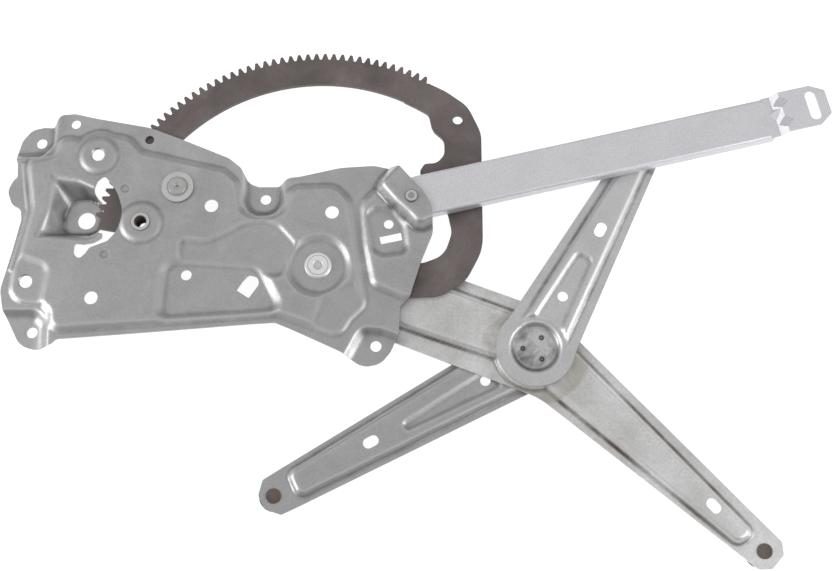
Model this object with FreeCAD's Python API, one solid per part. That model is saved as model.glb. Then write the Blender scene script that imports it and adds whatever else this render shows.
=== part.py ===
import FreeCAD, Part
import math
import os

# Window regulator, cross-arm type, for an electric drive. Sizes in millimetres.
# The origin is the axis of the pinion bearing hole at the seat face of its bracket.
# +X runs along the guide rail, +Y is up in the door, +Z points at the trim side.

# Sheet and fit sizes
PLATE_SHEET = 1.8
ARM_SHEET = 2.0
RAIL_SHEET = 1.5
GEAR_THICKNESS = 3.5
RUNNING_FIT = 0.05
SEAT_GAP = 0.3

# Gear pair: the sector is part of a full wheel, the pinion belongs to the motor
MODULE = 2.0
SECTOR_WHEEL_TEETH = 160
PINION_TEETH = 10
SECTOR_TEETH = 47
FIRST_TOOTH_ANGLE = 62.42
PRESSURE_ANGLE = 20.0
ADDENDUM = 1.0
DEDENDUM = 1.25
RING_WIDTH = 24.0

# Heights of the front faces of the base plate
BEARING_FACE = 0.0
EAR_FACE = 6.0
PIVOT_FACE = 12.0
BORDER_FACE = 12.0
TRAY_FACE = 11.5
POCKET_FACE = 12.2
PANEL_FACE = 15.0
STEP_DROP = 1.3
BOSS_RISE = 1.8
TAB_FACE = 24.2

# Heights of the moving pieces
GEAR_BACK = 5.8
MAIN_DRAW = 5.0
BUSH_FLANGE = 0.45
UPPER_DRAW = 3.0
CUP_DEPTH = 3.4
LOWER_DRAW = 3.5
ROLLER_HEIGHT = 7.0
UPPER_ROLLER_HEIGHT = 6.2

# Linkage at rest: the window is down
PIVOT_DIRECTION = -12.7
CROSS_REACH = 159.6
CROSS_DIRECTION = -20.85
MAIN_ROOT_DIRECTION = -20.4
MAIN_REACH = 200.6
MAIN_DIRECTION = -42.7
UPPER_REACH = 162.35
LOWER_REACH = 203.1
LOWER_DIRECTION = -150.8

# Guide rail
RAIL_RIVET_X = 230.3
RAIL_RIVET_Y = 9.6
RAIL_DIRECTION = 13.1
RAIL_WIDTH = 30.0
RAIL_DEPTH = 10.4
RAIL_LIP = 4.5
RAIL_START = 5.5
RAIL_LENGTH = 263.0
RAIL_FLANGE_SHORT = 4.0
JOGGLE_RUN = 4.7
JOGGLE_RISE = 5.6
RAIL_TAB_LENGTH = 37.6
SLOT_FROM_TAB_END = 11.2
SLOT_LENGTH = 21.5
SLOT_WIDTH = 7.5

# Round fits
BEARING_BORE = 6.3
PIVOT_SHANK = 8.0
PIVOT_HEAD = 9.3
HUB_RADIUS = 27.5
CUP_RADIUS = 17.0
BUSH_WALL = 1.5
WELD_REACH = 8.6
RIVET_RADIUS = 4.2
RAIL_SHANK = 3.4
RAIL_HEAD = 4.5
ROLLER_RADIUS = 10.0
UPPER_ROLLER_RADIUS = 13.2
PIN_RADIUS = 4.0
SCREW_HOLE = 4.4
COLLAR_DEPTH = 0.5
COLLAR_WIDTH = 0.8
MOUNT_HOLE = 3.8
JIG_HOLE = 3.6
ARM_SLOT_LENGTH = 11.0
ARM_SLOT_WIDTH = 7.4
STOP_RADIUS = 12.3
STOP_REACH = 114.6
STOP_DIRECTION = 150.2

UP = FreeCAD.Vector(0, 0, 1)
FAR = 60.0


def vec(x, y, z=0.0):
    return FreeCAD.Vector(x, y, z)


def polar(centre, reach, degrees):
    """Point at a distance and direction from another one."""
    angle = math.radians(degrees)
    return (centre[0] + reach * math.cos(angle), centre[1] + reach * math.sin(angle))


def along(centre, degrees, s, t, radius=0.0):
    """Corner at s along a direction and t to its left."""
    x, y = polar(centre, s, degrees)
    x, y = polar((x, y), t, degrees + 90.0)
    return (x, y, radius)


ORIGIN = (0.0, 0.0)
GEAR_CENTRES = MODULE * (SECTOR_WHEEL_TEETH + PINION_TEETH) / 2.0
PIVOT = polar(ORIGIN, GEAR_CENTRES, PIVOT_DIRECTION)
CROSS = polar(PIVOT, CROSS_REACH, CROSS_DIRECTION)
MAIN_END = polar(CROSS, MAIN_REACH, MAIN_DIRECTION)
RAIL_RIVET = (RAIL_RIVET_X, RAIL_RIVET_Y)


def line_offset(point):
    """Distance of a point to the left of the guide rail's middle line."""
    angle = math.radians(RAIL_DIRECTION)
    x, y = point[0] - RAIL_RIVET[0], point[1] - RAIL_RIVET[1]
    return y * math.cos(angle) - x * math.sin(angle)


# The upper arm's tip lies on the guide rail's middle line
UPPER_DIRECTION = RAIL_DIRECTION - math.degrees(math.asin(line_offset(CROSS) / UPPER_REACH))
UPPER_END = polar(CROSS, UPPER_REACH, UPPER_DIRECTION)
LOWER_END = polar(CROSS, LOWER_REACH, LOWER_DIRECTION)
STOP = polar(PIVOT, STOP_REACH, STOP_DIRECTION)

PITCH_RADIUS = MODULE * SECTOR_WHEEL_TEETH / 2.0
TIP_RADIUS = PITCH_RADIUS + ADDENDUM * MODULE
ROOT_RADIUS = PITCH_RADIUS - DEDENDUM * MODULE
RING_INNER = TIP_RADIUS - RING_WIDTH
TOOTH_PITCH = 360.0 / SECTOR_WHEEL_TEETH

GEAR_FRONT = GEAR_BACK + GEAR_THICKNESS
MAIN_WEB = GEAR_BACK
MAIN_FLANGE = MAIN_WEB - MAIN_DRAW
MAIN_BACK = MAIN_FLANGE - ARM_SHEET
UPPER_FLANGE = MAIN_WEB + BUSH_FLANGE + RUNNING_FIT + ARM_SHEET
UPPER_WEB = UPPER_FLANGE + UPPER_DRAW
LOWER_WEB = MAIN_BACK - 0.5
CUP_FLOOR = UPPER_FLANGE - CUP_DEPTH
CUP_BACK = CUP_FLOOR - ARM_SHEET
LOWER_FLANGE = LOWER_WEB - LOWER_DRAW
LOWER_BACK = LOWER_FLANGE - ARM_SHEET
ROLLER_TOP = LOWER_BACK - SEAT_GAP
RAIL_FACE = TAB_FACE - PLATE_SHEET - 0.4
RAIL_BACK = RAIL_FACE - RAIL_DEPTH
RAIL_FLANGE_END = RAIL_LENGTH - RAIL_FLANGE_SHORT
RAIL_TAB_END = RAIL_LENGTH + RAIL_TAB_LENGTH
SLOT_AT = RAIL_TAB_END - SLOT_FROM_TAB_END
UPPER_SEAT = RAIL_BACK + RAIL_SHEET + 0.2
BUSH_BORE = CUP_RADIUS + RUNNING_FIT
BUSH_OUTER = BUSH_BORE + BUSH_WALL


def signed_area(corners):
    total = 0.0
    for i in range(len(corners)):
        a, b = corners[i - 1], corners[i]
        total += a[0] * b[1] - b[0] * a[1]
    return total / 2.0


def crossing(first, second):
    """Where two lines (x, y, ux, uy) meet."""
    ax, ay, ux, uy = first
    bx, by, vx, vy = second
    s = ((bx - ax) * vy - (by - ay) * vx) / (ux * vy - uy * vx)
    return (ax + ux * s, ay + uy * s)


def loop(corners, z, grow=0.0):
    """Closed wire at height z through corners (x, y, radius), moved outward by grow."""
    if len(corners) == 1:
        x, y, radius = corners[0]
        return Part.Wire([Part.makeCircle(radius + grow, vec(x, y, z))])
    turn = 1.0 if signed_area(corners) > 0 else -1.0
    count = len(corners)
    sides = []
    for i in range(count):
        a, b = corners[i], corners[(i + 1) % count]
        length = math.hypot(b[0] - a[0], b[1] - a[1])
        ux, uy = (b[0] - a[0]) / length, (b[1] - a[1]) / length
        sides.append((a[0] + uy * turn * grow, a[1] - ux * turn * grow, ux, uy))
    moved = [crossing(sides[i - 1], sides[i]) for i in range(count)]
    starts, ends, arcs = [], [], []
    for i in range(count):
        p, before, after = moved[i], moved[i - 1], moved[(i + 1) % count]
        _, _, ux, uy = sides[i - 1]
        _, _, vx, vy = sides[i]
        bend = math.atan2(ux * vy - uy * vx, ux * vx + uy * vy)
        half = math.tan(abs(bend) / 2.0)
        round_off = corners[i][2] if len(corners[i]) > 2 else 0.0
        radius = round_off + grow * (1.0 if bend * turn > 0 else -1.0)
        room = 0.47 * min(math.dist(p, before), math.dist(p, after))
        reach = min(max(radius, 0.2) * half, room) if round_off > 0 else 0.0
        start = vec(p[0] - ux * reach, p[1] - uy * reach, z)
        end = vec(p[0] + vx * reach, p[1] + vy * reach, z)
        starts.append(start)
        ends.append(end)
        if reach > 0.0:
            radius = reach / half
            side = 1.0 if bend > 0 else -1.0
            centre = vec(start.x - uy * side * radius, start.y + ux * side * radius, z)
            outward = vec(p[0], p[1], z) - centre
            middle = centre + outward * (radius / outward.Length)
            arcs.append(Part.Arc(start, middle, end).toShape())
        else:
            arcs.append(None)
    edges = []
    for i in range(count):
        if arcs[i] is not None:
            edges.append(arcs[i])
        edges.append(Part.makeLine(ends[i], starts[(i + 1) % count]))
    return Part.Wire(edges)


def prism(corners, low=-FAR, high=FAR):
    return Part.Face(loop(corners, low)).extrude(vec(0, 0, high - low))


def cylinder(centre, radius, low, high):
    return Part.makeCylinder(radius, high - low, vec(centre[0], centre[1], low))


def cone(centre, low_radius, high_radius, low, high):
    return Part.makeCone(low_radius, high_radius, high - low, vec(centre[0], centre[1], low))


def ring(centre, outer, bore, low, high):
    return cylinder(centre, outer, low, high).cut(cylinder(centre, bore, -FAR, FAR))


def slot(centre, degrees, length, width):
    """Long round-ended cutter through the whole height."""
    half = (length - width) / 2.0
    ends = [polar(centre, half, degrees), polar(centre, -half, degrees)]
    corners = []
    for s, t in ((-half, -width / 2), (half, -width / 2), (half, width / 2), (-half, width / 2)):
        corners.append(along(centre, degrees, s, t))
    cutter = prism(corners)
    for end in ends:
        cutter = cutter.fuse(cylinder(end, width / 2, -FAR, FAR))
    return cutter


def press(block, corners, face, old_face, run, reach=1.0):
    """Raise or sink a region of the die block, with a sloped wall round it."""
    slope = run / abs(face - old_face)
    side = 1.0 if face > old_face else -1.0
    foot = old_face - side * reach
    wires = [loop(corners, face), loop(corners, foot, run + reach * slope)]
    form = Part.makeLoft(wires, True, True)
    return block.fuse(form) if side > 0 else block.cut(form)


def scoop(block, floor, mouth, face, old_face, reach=2.5):
    """Sink a pocket whose mouth corners answer one to one to those of its floor."""
    share = reach / (old_face - face)
    above = []
    for f, m in zip(floor, mouth):
        above.append(tuple(b + (b - a) * share for a, b in zip(f, m)))
    form = Part.makeLoft([loop(floor, face), loop(above, old_face + reach)], True, True)
    return block.cut(form)


def stamping(blank, level, presses, sheet):
    """Sheet pressed over a die block, then trimmed to the blank."""
    box = blank.BoundBox
    block = Part.makeBox(box.XLength + 40, box.YLength + 40, level + FAR / 2,
                         vec(box.XMin - 20, box.YMin - 20, -FAR / 2))
    for step in presses:
        deep = len(step) > 3 and isinstance(step[1], list)
        block = scoop(block, *step) if deep else press(block, *step)
    skin = block.cut(block.translated(vec(0, 0, -sheet)))
    return skin.common(blank)


def rivet(centre, shank, head, top, seat, tail_seat, tail, head_round=0.4):
    """Turned rivet: head above seat, shank, and an upset tail below tail_seat."""
    outline = [(0, tail), (head * 0.85, tail), (head * 0.85, tail_seat), (shank, tail_seat),
               (shank, seat), (head, seat), (head, top - head_round), (head - head_round, top),
               (head * 0.4, top), (head * 0.33, top - head_round), (0, top - head_round)]
    points = [vec(centre[0] + x, centre[1], z) for x, z in outline]
    face = Part.Face(Part.makePolygon(points + [points[0]]))
    return face.revolve(vec(centre[0], centre[1], 0), UP, 360)


def save(shape, name):
    solid = shape.removeSplitter()
    if len(solid.Solids) == 1:
        solid = solid.Solids[0]
    if not solid.isValid():
        print("not valid:", name)
    solid.exportStep("parts/" + name + ".step")
    print(name, len(solid.Solids), round(solid.Volume))


# Base plate outline, clockwise from the upper left ear
PLATE_OUTLINE = [
    (-48.5, 38.5, 3), (-51, 46, 6), (-48.5, 58, 10), (-42, 66.5, 9), (-33, 68.5, 8), (-25, 67.5, 2),
    (-23, 72, 4), (-20, 75.8, 5), (-10, 76.5, 8), (5, 73, 30), (45, 65.5, 40), (70, 55.5, 40),
    (101, 42.5, 10), (110, 35, 8), (115, 25.5, 8), (122, 22.8, 5), (137, 22.8, 5), (144, 27.5, 6),
    (152, 28.5, 20), (180, 35, 40), (204, 36.5, 20), (217, 33.5, 3), (221.7, 32.5, 1.5),
    (230.3, 22.5, 3), (238, 14, 20), (244.5, 3, 12), (245.3, -14, 14), (236.5, -36, 40),
    (229.5, -59, 6), (222.5, -65.5, 4), (221.8, -84, 6), (216, -97, 12), (209, -105.5, 12),
    (197, -107.5, 12), (181.5, -97.5, 20), (150, -83, 40), (137, -77.5, 6), (120, -78.6, 30),
    (40, -85, 60), (-12, -88.8, 5), (-15, -92, 3), (-26, -95.5, 12), (-38, -92.5, 12),
    (-43.5, -82, 12), (-50, -69, 12), (-53, -54, 14), (-47, -27, 30), (-42.5, -3, 6),
    (-43.5, 4.5, 5), (-50, 8, 6), (-54, 18, 8), (-50.5, 26, 6), (-47.8, 28.5, 2)]

MAIN_PANEL = [
    (-35.5, 37, 4), (-20, 43, 8), (-17, 56.5, 5), (-5, 53.5, 6), (2, 58, 8), (9, 60.5, 8),
    (19, 57, 8), (28, 55.5, 10), (38, 45, 6), (98, 30.5, 6), (105, 24, 6), (109, 2, 8),
    (118, -5, 8), (133, -5, 8), (143, 2, 8), (147, 18, 6), (176, 19, 10), (185, 9, 8),
    (189, -20, 30), (196, -64, 6), (186, -74, 6), (180, -84, 6), (145, -71, 10), (138, -69, 8),
    (52, -75.5, 8), (-14, -80, 5), (-15.5, -68, 8), (-22, -62, 8), (-43, -59, 8), (-42, -42, 20),
    (-37.5, -20, 20), (-33, 5, 20)]

RIGHT_PANEL = [(197.5, 8, 6), (221, 31, 3), (262, 31, 3), (262, -56, 3), (226, -58, 5),
               (205.5, -49, 5), (200.5, -22, 20)]
RAIL_TAB = [(209, 20, 4), (222, 34, 2), (240, 44, 2), (264, 14, 2), (250, -3, 3), (235.5, -9, 4),
            (229, -1.5, 6), (219.5, 7.5, 5)]
TRAY = [(62, -36, 8), (123, -39.5, 8), (137, -67, 4), (60.5, -72, 4)]
SADDLE = [(71, -20, 1.5), (89, -21.5, 12), (103, -14, 8), (116, -7, 8), (128, -6, 8),
          (137, -9.5, 6), (150, -24, 6), (139, -44, 4), (71, -36, 1.5)]
SEAT_PAD = [(-60, -33.5, 3), (-38, -33.5, 4), (-23, -39, 5), (-26.5, -66, 3), (-60, -66, 3)]
HEEL = [(171.5, -58, 3), (164.5, -79.5, 3), (163, -98, 3), (196, -98, 3), (197, -66, 3),
        (190, -50, 3)]
POCKET = [(200, 0, 3), (206, 4, 6), (216, 2, 5), (223.5, -9, 5), (226, -27, 4), (211, -29, 4),
          (205, -26, 5)]
UPPER_EAR = [(-62, 45.5, 2), (-33, 47.5, 6), (-27, 53.5, 6), (-26, 85, 2), (-62, 85, 2)]
LOWER_EAR = [(-62, -73, 2), (-28.5, -73, 5), (-23.5, -78, 5), (-22.5, -112, 2), (-62, -112, 2)]
REAR_EAR = [(197.5, -85, 5), (187, -105, 4), (190, -125, 2), (240, -125, 2), (240, -98, 2),
            (209, -86, 6)]
TOP_RECESS = [(115.8, 3.0, 9), (136.3, 3.0, 9), (138, 45, 2), (113.5, 45, 2)]
BRACKET_FLOOR = [(-14.5, -9.9, 3), (-15.5, 3, 14), (-11.5, 13.5, 8), (0, 15.8, 10), (10.5, 13, 6),
                 (10.5, -9.9, 6)]
BRACKET_MOUTH = [(-29, -15.5, 1.6), (-19.5, 1, 14), (-21.5, 26.5, 1.6), (-3, 24.5, 16), (14, 15.5, 8),
                 (15.5, -18.5, 12)]
GEAR_WINDOW = [
    (7, 17, 1.5), (9.5, 24.5, 4), (14, 28.5, 2), (17, 25.5, 2), (24.5, 15.5, 24), (29.5, 0, 27),
    (25, -13.5, 24), (19.3, -19.8, 0.8), (12, -22.7, 6), (7.3, -24.6, 1.5), (4.5, -29, 4),
    (0.5, -33, 3), (-3.5, -29, 4), (-3.3, -21.5, 2), (3, -22.2, 4), (10, -21, 6), (15.5, -17.5, 2),
    (15.2, -8, 6), (16, 2, 8), (14, 9.5, 6), (9, 14, 2)]
TRIM_HOLE = [(109.8, -54.5, 0.5), (118.5, -60.1, 0.5), (125.5, -50, 4), (124, -45, 3),
             (118, -43.5, 3), (114, -48, 2)]
CLIP_SLOT = [(207.9, -16.2, 0.4), (222.8, -13, 0.4), (224, -18.7, 0.4), (209.2, -21.7, 0.4)]

MOTOR_BUSH = (42.0, -6.3)
MOTOR_HOLES = [(9.2, 43.6), (-35.5, -48.5)]
EAR_HOLES = [(-34.4, 56.2), (-30.1, -83.1), (206.0, -93.0), (127.3, 13.5)]
PANEL_HOLES = [(-9.3, 68.6, 3.4), (44, 56.5, 3.2), (90.5, 6, 4.8), (174.9, 1, 4.8),
               (10.8, -60.5, 4.7), (74.7, -43.5, 3.8), (214.4, -7, 3.4)]
DIMPLES = [(29.5, 19), (17.8, -29.3)]
BUSH_RADIUS = 6.6


def base_plate():
    step = PANEL_FACE - STEP_DROP
    seat = PANEL_FACE + BOSS_RISE
    presses = [
        (MAIN_PANEL, PANEL_FACE, BORDER_FACE, 4.5),
        (RIGHT_PANEL, PANEL_FACE, BORDER_FACE, 4.0),
        (RAIL_TAB, TAB_FACE, PANEL_FACE, 5.0, 2.8),
        (SADDLE, step, PANEL_FACE, 4.0),
        (TRAY, TRAY_FACE, PANEL_FACE, 6.5),
        (POCKET, POCKET_FACE, PANEL_FACE, 2.5),
        (HEEL, step, PANEL_FACE, 3.5),
        (SEAT_PAD, step, PANEL_FACE, 4.0),
        ([PIVOT + (18.5,)], PIVOT_FACE, PANEL_FACE, 4.5),
        (UPPER_EAR, EAR_FACE, PANEL_FACE, 6.0),
        (LOWER_EAR, EAR_FACE, PANEL_FACE, 9.0),
        (REAR_EAR, EAR_FACE, PANEL_FACE, 8.0),
        (TOP_RECESS, EAR_FACE, PANEL_FACE, 6.0),
        ([MOTOR_HOLES[0] + (11.2,)], seat, PANEL_FACE, 2.7),
        ([MOTOR_BUSH + (12.5,)], seat, PANEL_FACE, 2.7)]
    for dimple in DIMPLES:
        presses.append(([dimple + (2.4,)], PANEL_FACE - 0.8, PANEL_FACE, 0.9))
    presses.append((BRACKET_FLOOR, BRACKET_MOUTH, BEARING_FACE, PANEL_FACE))
    plate = stamping(prism(PLATE_OUTLINE), BORDER_FACE, presses, PLATE_SHEET)
    for corners in (GEAR_WINDOW, TRIM_HOLE, CLIP_SLOT):
        plate = plate.cut(prism(corners, PLATE_SHEET, FAR))
    ring = cylinder(PIVOT, TIP_RADIUS + 1.5, GEAR_BACK - 1.0, GEAR_FRONT + 1.0)
    ring = ring.cut(cylinder(PIVOT, RING_INNER - 1.5, -FAR, FAR))
    plate = plate.cut(ring)
    for centre in EAR_HOLES:
        plate = plate.cut(cylinder(centre, MOUNT_HOLE, -FAR, FAR))
    for centre, top in zip(MOTOR_HOLES, (seat, step)):
        plate = plate.cut(cylinder(centre, SCREW_HOLE, -FAR, FAR))
        plate = plate.cut(cone(centre, SCREW_HOLE - COLLAR_WIDTH, SCREW_HOLE + 2 * COLLAR_WIDTH,
                               top - 2 * COLLAR_DEPTH, top + COLLAR_DEPTH))
    for x, y, radius in PANEL_HOLES:
        plate = plate.cut(cylinder((x, y), radius, -FAR, FAR))
    plate = plate.cut(cylinder(ORIGIN, BEARING_BORE, -FAR, FAR))
    plate = plate.cut(cylinder(MOTOR_BUSH, BUSH_RADIUS, -FAR, FAR))
    plate = plate.cut(cylinder(PIVOT, PIVOT_SHANK, -FAR, FAR))
    plate = plate.cut(cylinder(STOP, RIVET_RADIUS, -FAR, FAR))
    return plate.cut(cylinder(RAIL_RIVET, RAIL_SHANK, -FAR, FAR))


def motor_screw_bush():
    top = PANEL_FACE + BOSS_RISE
    back = top - PLATE_SHEET
    bush = cylinder(MOTOR_BUSH, BUSH_RADIUS, back - 2.2, top + 0.8)
    bush = bush.fuse(cylinder(MOTOR_BUSH, BUSH_RADIUS + 1.6, back - 2.2, back))
    return bush.cut(cylinder(MOTOR_BUSH, SCREW_HOLE, -FAR, FAR))


def involute(angle):
    return math.tan(angle) - angle


def flank_angle(radius):
    """Half angle of a tooth at a radius, in degrees."""
    base = PITCH_RADIUS * math.cos(math.radians(PRESSURE_ANGLE))
    here = involute(math.acos(base / radius))
    pitch = involute(math.radians(PRESSURE_ANGLE))
    return math.degrees(math.pi / (2 * SECTOR_WHEEL_TEETH) + pitch - here)


def toothed_ring():
    """Ring of teeth with involute flanks, from just before the first tooth to the free end."""
    first = FIRST_TOOTH_ANGLE
    begin = first - 0.55 * TOOTH_PITCH
    finish = first + (SECTOR_TEETH + 0.6) * TOOTH_PITCH

    def at(radius, degrees):
        x, y = polar(PIVOT, radius, degrees)
        return vec(x, y, GEAR_BACK)

    edges = []
    here = at(ROOT_RADIUS, begin)
    for i in range(SECTOR_TEETH):
        middle = first + i * TOOTH_PITCH
        rise = [at(r, middle - flank_angle(r)) for r in (ROOT_RADIUS, PITCH_RADIUS, TIP_RADIUS)]
        fall = [at(r, middle + flank_angle(r)) for r in (TIP_RADIUS, PITCH_RADIUS, ROOT_RADIUS)]
        edges.append(Part.makeLine(here, rise[0]))
        edges.append(Part.Arc(*rise).toShape())
        edges.append(Part.makeLine(rise[2], fall[0]))
        edges.append(Part.Arc(*fall).toShape())
        here = fall[2]
    edges.append(Part.makeLine(here, at(ROOT_RADIUS, finish)))
    edges.append(Part.makeLine(at(ROOT_RADIUS, finish), at(RING_INNER, finish)))
    half = (begin + finish) / 2
    inner = Part.Arc(at(RING_INNER, finish), at(RING_INNER, half), at(RING_INNER, begin))
    edges.append(inner.toShape())
    edges.append(Part.makeLine(at(RING_INNER, begin), at(ROOT_RADIUS, begin)))
    return Part.Face(Part.Wire(edges)).extrude(vec(0, 0, GEAR_THICKNESS))


# Right side of the sector, from the toothed ring round the stop notch to the pivot
SECTOR_BODY = [
    (242.6, 101, 1), (255, 94.5, 30), (270.5, 83, 22), (280, 62, 24), (280, -24, 34),
    (268, -47, 24), (250, -58, 24), (225, -59, 20), (PIVOT[0], PIVOT[1] - 24.5, 5),
    (PIVOT[0], PIVOT[1] + 24.5, 5), (192, -19, 20), (214, -32.5, 20), (238, -34.6, 10),
    (253, -29, 16), (258.6, -12, 16), (255.5, 3, 10), (243, 15, 8), (237, 24, 5),
    (236.3, 34, 4), (239.5, 39, 3), (248.5, 39.6, 8), (253.6, 46, 8), (253.6, 57, 8),
    (246.4, 63.5, 2), (244.6, 67, 3), (242.5, 77, 6), (233, 82.6, 10), (224.4, 87.0, 1),
    (230, 100, 1)]
SECTOR_HOLE = (263.2, 72.8)
FIXING_RIVETS = [along(PIVOT, CROSS_DIRECTION, s, t) for s, t in ((26, 5), (48, 8), (41, -4))]
FIXING_RADIUS = 3.0


def sector_gear():
    gear = toothed_ring().fuse(prism(SECTOR_BODY, GEAR_BACK, GEAR_FRONT))
    gear = gear.fuse(cylinder(PIVOT, 24.5, GEAR_BACK, GEAR_FRONT))
    gear = gear.cut(cylinder(PIVOT, PIVOT_SHANK + RUNNING_FIT, -FAR, FAR))
    gear = gear.cut(cylinder(SECTOR_HOLE, JIG_HOLE, -FAR, FAR))
    for x, y, _ in FIXING_RIVETS:
        gear = gear.cut(cylinder((x, y), FIXING_RADIUS, -FAR, FAR))
    return gear


def sector_rivets():
    rivets = []
    for x, y, _ in FIXING_RIVETS:
        rivets.append(rivet((x, y), FIXING_RADIUS, 5.2, GEAR_FRONT + 0.5, GEAR_FRONT,
                            MAIN_WEB - ARM_SHEET, MAIN_WEB - ARM_SHEET - 1.6, 0.2))
    return Part.makeCompound(rivets)


MAIN_OUTLINE = [
    along(PIVOT, MAIN_ROOT_DIRECTION, -28.5, 28.5, 28), along(CROSS, MAIN_DIRECTION, -11.4, 27.1, 25),
    along(MAIN_END, MAIN_DIRECTION, 4.6, 12.6, 2), along(MAIN_END, MAIN_DIRECTION, 10.9, 6.7, 2),
    along(MAIN_END, MAIN_DIRECTION, 11.0, -5.5, 2), along(MAIN_END, MAIN_DIRECTION, 4.9, -11.5, 3),
    along(CROSS, MAIN_DIRECTION, 24.1, -23.1, 40), along(PIVOT, MAIN_ROOT_DIRECTION, -28.5, -28.5, 28)]
MAIN_ROOT_END = CROSS_REACH - 9.6
MAIN_ROOT_WEB = [
    along(PIVOT, MAIN_ROOT_DIRECTION, -22, 18, 16), along(PIVOT, MAIN_ROOT_DIRECTION, MAIN_ROOT_END, 16, 6),
    along(PIVOT, MAIN_ROOT_DIRECTION, MAIN_ROOT_END, -14, 6), along(PIVOT, MAIN_ROOT_DIRECTION, -22, -18, 16)]
MAIN_REACH_WEB = [
    along(CROSS, MAIN_DIRECTION, 4.6, 16.4, 4), along(MAIN_END, MAIN_DIRECTION, -14.6, 2.6, 3),
    along(MAIN_END, MAIN_DIRECTION, -17.1, -6.8, 4), along(CROSS, MAIN_DIRECTION, 4.5, -13.7, 4)]
MAIN_HUB_WEB = [CROSS + (HUB_RADIUS - 2.0,)]
MAIN_SLOT = along(MAIN_END, MAIN_DIRECTION, -43.6, -0.5)[:2]


def main_arm():
    webs = (MAIN_ROOT_WEB, MAIN_REACH_WEB, MAIN_HUB_WEB)
    presses = [(web, MAIN_WEB, MAIN_FLANGE, 3.5) for web in webs]
    arm = stamping(prism(MAIN_OUTLINE), MAIN_FLANGE, presses, ARM_SHEET)
    arm = arm.cut(cylinder(PIVOT, PIVOT_SHANK + RUNNING_FIT, -FAR, FAR))
    arm = arm.cut(cylinder(CROSS, BUSH_OUTER, -FAR, FAR))
    arm = arm.cut(cylinder(MAIN_END, PIN_RADIUS, -FAR, FAR))
    arm = arm.cut(slot(MAIN_SLOT, MAIN_DIRECTION - 5.3, ARM_SLOT_LENGTH, ARM_SLOT_WIDTH))
    for x, y, _ in FIXING_RIVETS:
        arm = arm.cut(cylinder((x, y), FIXING_RADIUS, -FAR, FAR))
    return arm


UPPER_TIP_END = UPPER_REACH + 10.2
UPPER_WEB_END = UPPER_REACH - 12.4
UPPER_TIP_START = UPPER_REACH - 14.4
UPPER_OUTLINE = [
    along(CROSS, UPPER_DIRECTION, 0, 26.2), along(CROSS, UPPER_DIRECTION, 0, -26.2),
    along(CROSS, UPPER_DIRECTION, UPPER_TIP_END, -12.6, 6),
    along(CROSS, UPPER_DIRECTION, UPPER_TIP_END, 12.6, 6)]
UPPER_WEB_TOP = [
    along(CROSS, UPPER_DIRECTION, 10, 14.5, 2), along(CROSS, UPPER_DIRECTION, 10, -14.5, 2),
    along(CROSS, UPPER_DIRECTION, UPPER_WEB_END, -5.5, 2),
    along(CROSS, UPPER_DIRECTION, UPPER_WEB_END, 5.5, 2)]
UPPER_TIP = [
    along(CROSS, UPPER_DIRECTION, UPPER_TIP_START, 24, 2),
    along(CROSS, UPPER_DIRECTION, UPPER_TIP_START, -24, 2),
    along(CROSS, UPPER_DIRECTION, UPPER_TIP_START + 42, -24, 2),
    along(CROSS, UPPER_DIRECTION, UPPER_TIP_START + 42, 24, 2)]
UPPER_RECESS = [
    along(CROSS, UPPER_DIRECTION, 18, 9.5, 2), along(CROSS, UPPER_DIRECTION, 18, -9.5, 2),
    along(CROSS, UPPER_DIRECTION, 73, -5, 4), along(CROSS, UPPER_DIRECTION, 73, 5, 4)]
UPPER_SLOT = along(CROSS, UPPER_DIRECTION, 95.5, -0.5)[:2]
UPPER_HOLE = along(CROSS, UPPER_DIRECTION, 40.5, 0.35)[:2]


def upper_arm():
    blank = prism(UPPER_OUTLINE).fuse(cylinder(CROSS, HUB_RADIUS, -FAR, FAR))
    presses = [(UPPER_WEB_TOP, UPPER_WEB, UPPER_FLANGE, 3.0), (UPPER_TIP, UPPER_WEB, UPPER_FLANGE, 3.0),
               (UPPER_RECESS, UPPER_FLANGE + 1.0, UPPER_WEB, 2.6),
               ([CROSS + (20.5,)], UPPER_FLANGE, UPPER_WEB, 3.0)]
    arm = stamping(blank, UPPER_FLANGE, presses, ARM_SHEET)
    arm = arm.fuse(cylinder(CROSS, CUP_RADIUS, CUP_BACK, UPPER_FLANGE - 0.5))
    arm = arm.cut(cone(CROSS, CUP_RADIUS - 2.2, CUP_RADIUS + 1.0, CUP_FLOOR, UPPER_FLANGE + 0.2))
    arm = arm.cut(slot(UPPER_SLOT, UPPER_DIRECTION + 1.1, ARM_SLOT_LENGTH, ARM_SLOT_WIDTH))
    arm = arm.cut(cylinder(UPPER_HOLE, JIG_HOLE, -FAR, FAR))
    for i in range(3):
        weld = polar(CROSS, WELD_REACH, 60.0 + 120.0 * i)
        arm = arm.cut(cylinder(weld, 1.5, CUP_FLOOR - 0.5, FAR))
    return arm.cut(cylinder(UPPER_END, PIN_RADIUS, -FAR, FAR))


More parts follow.
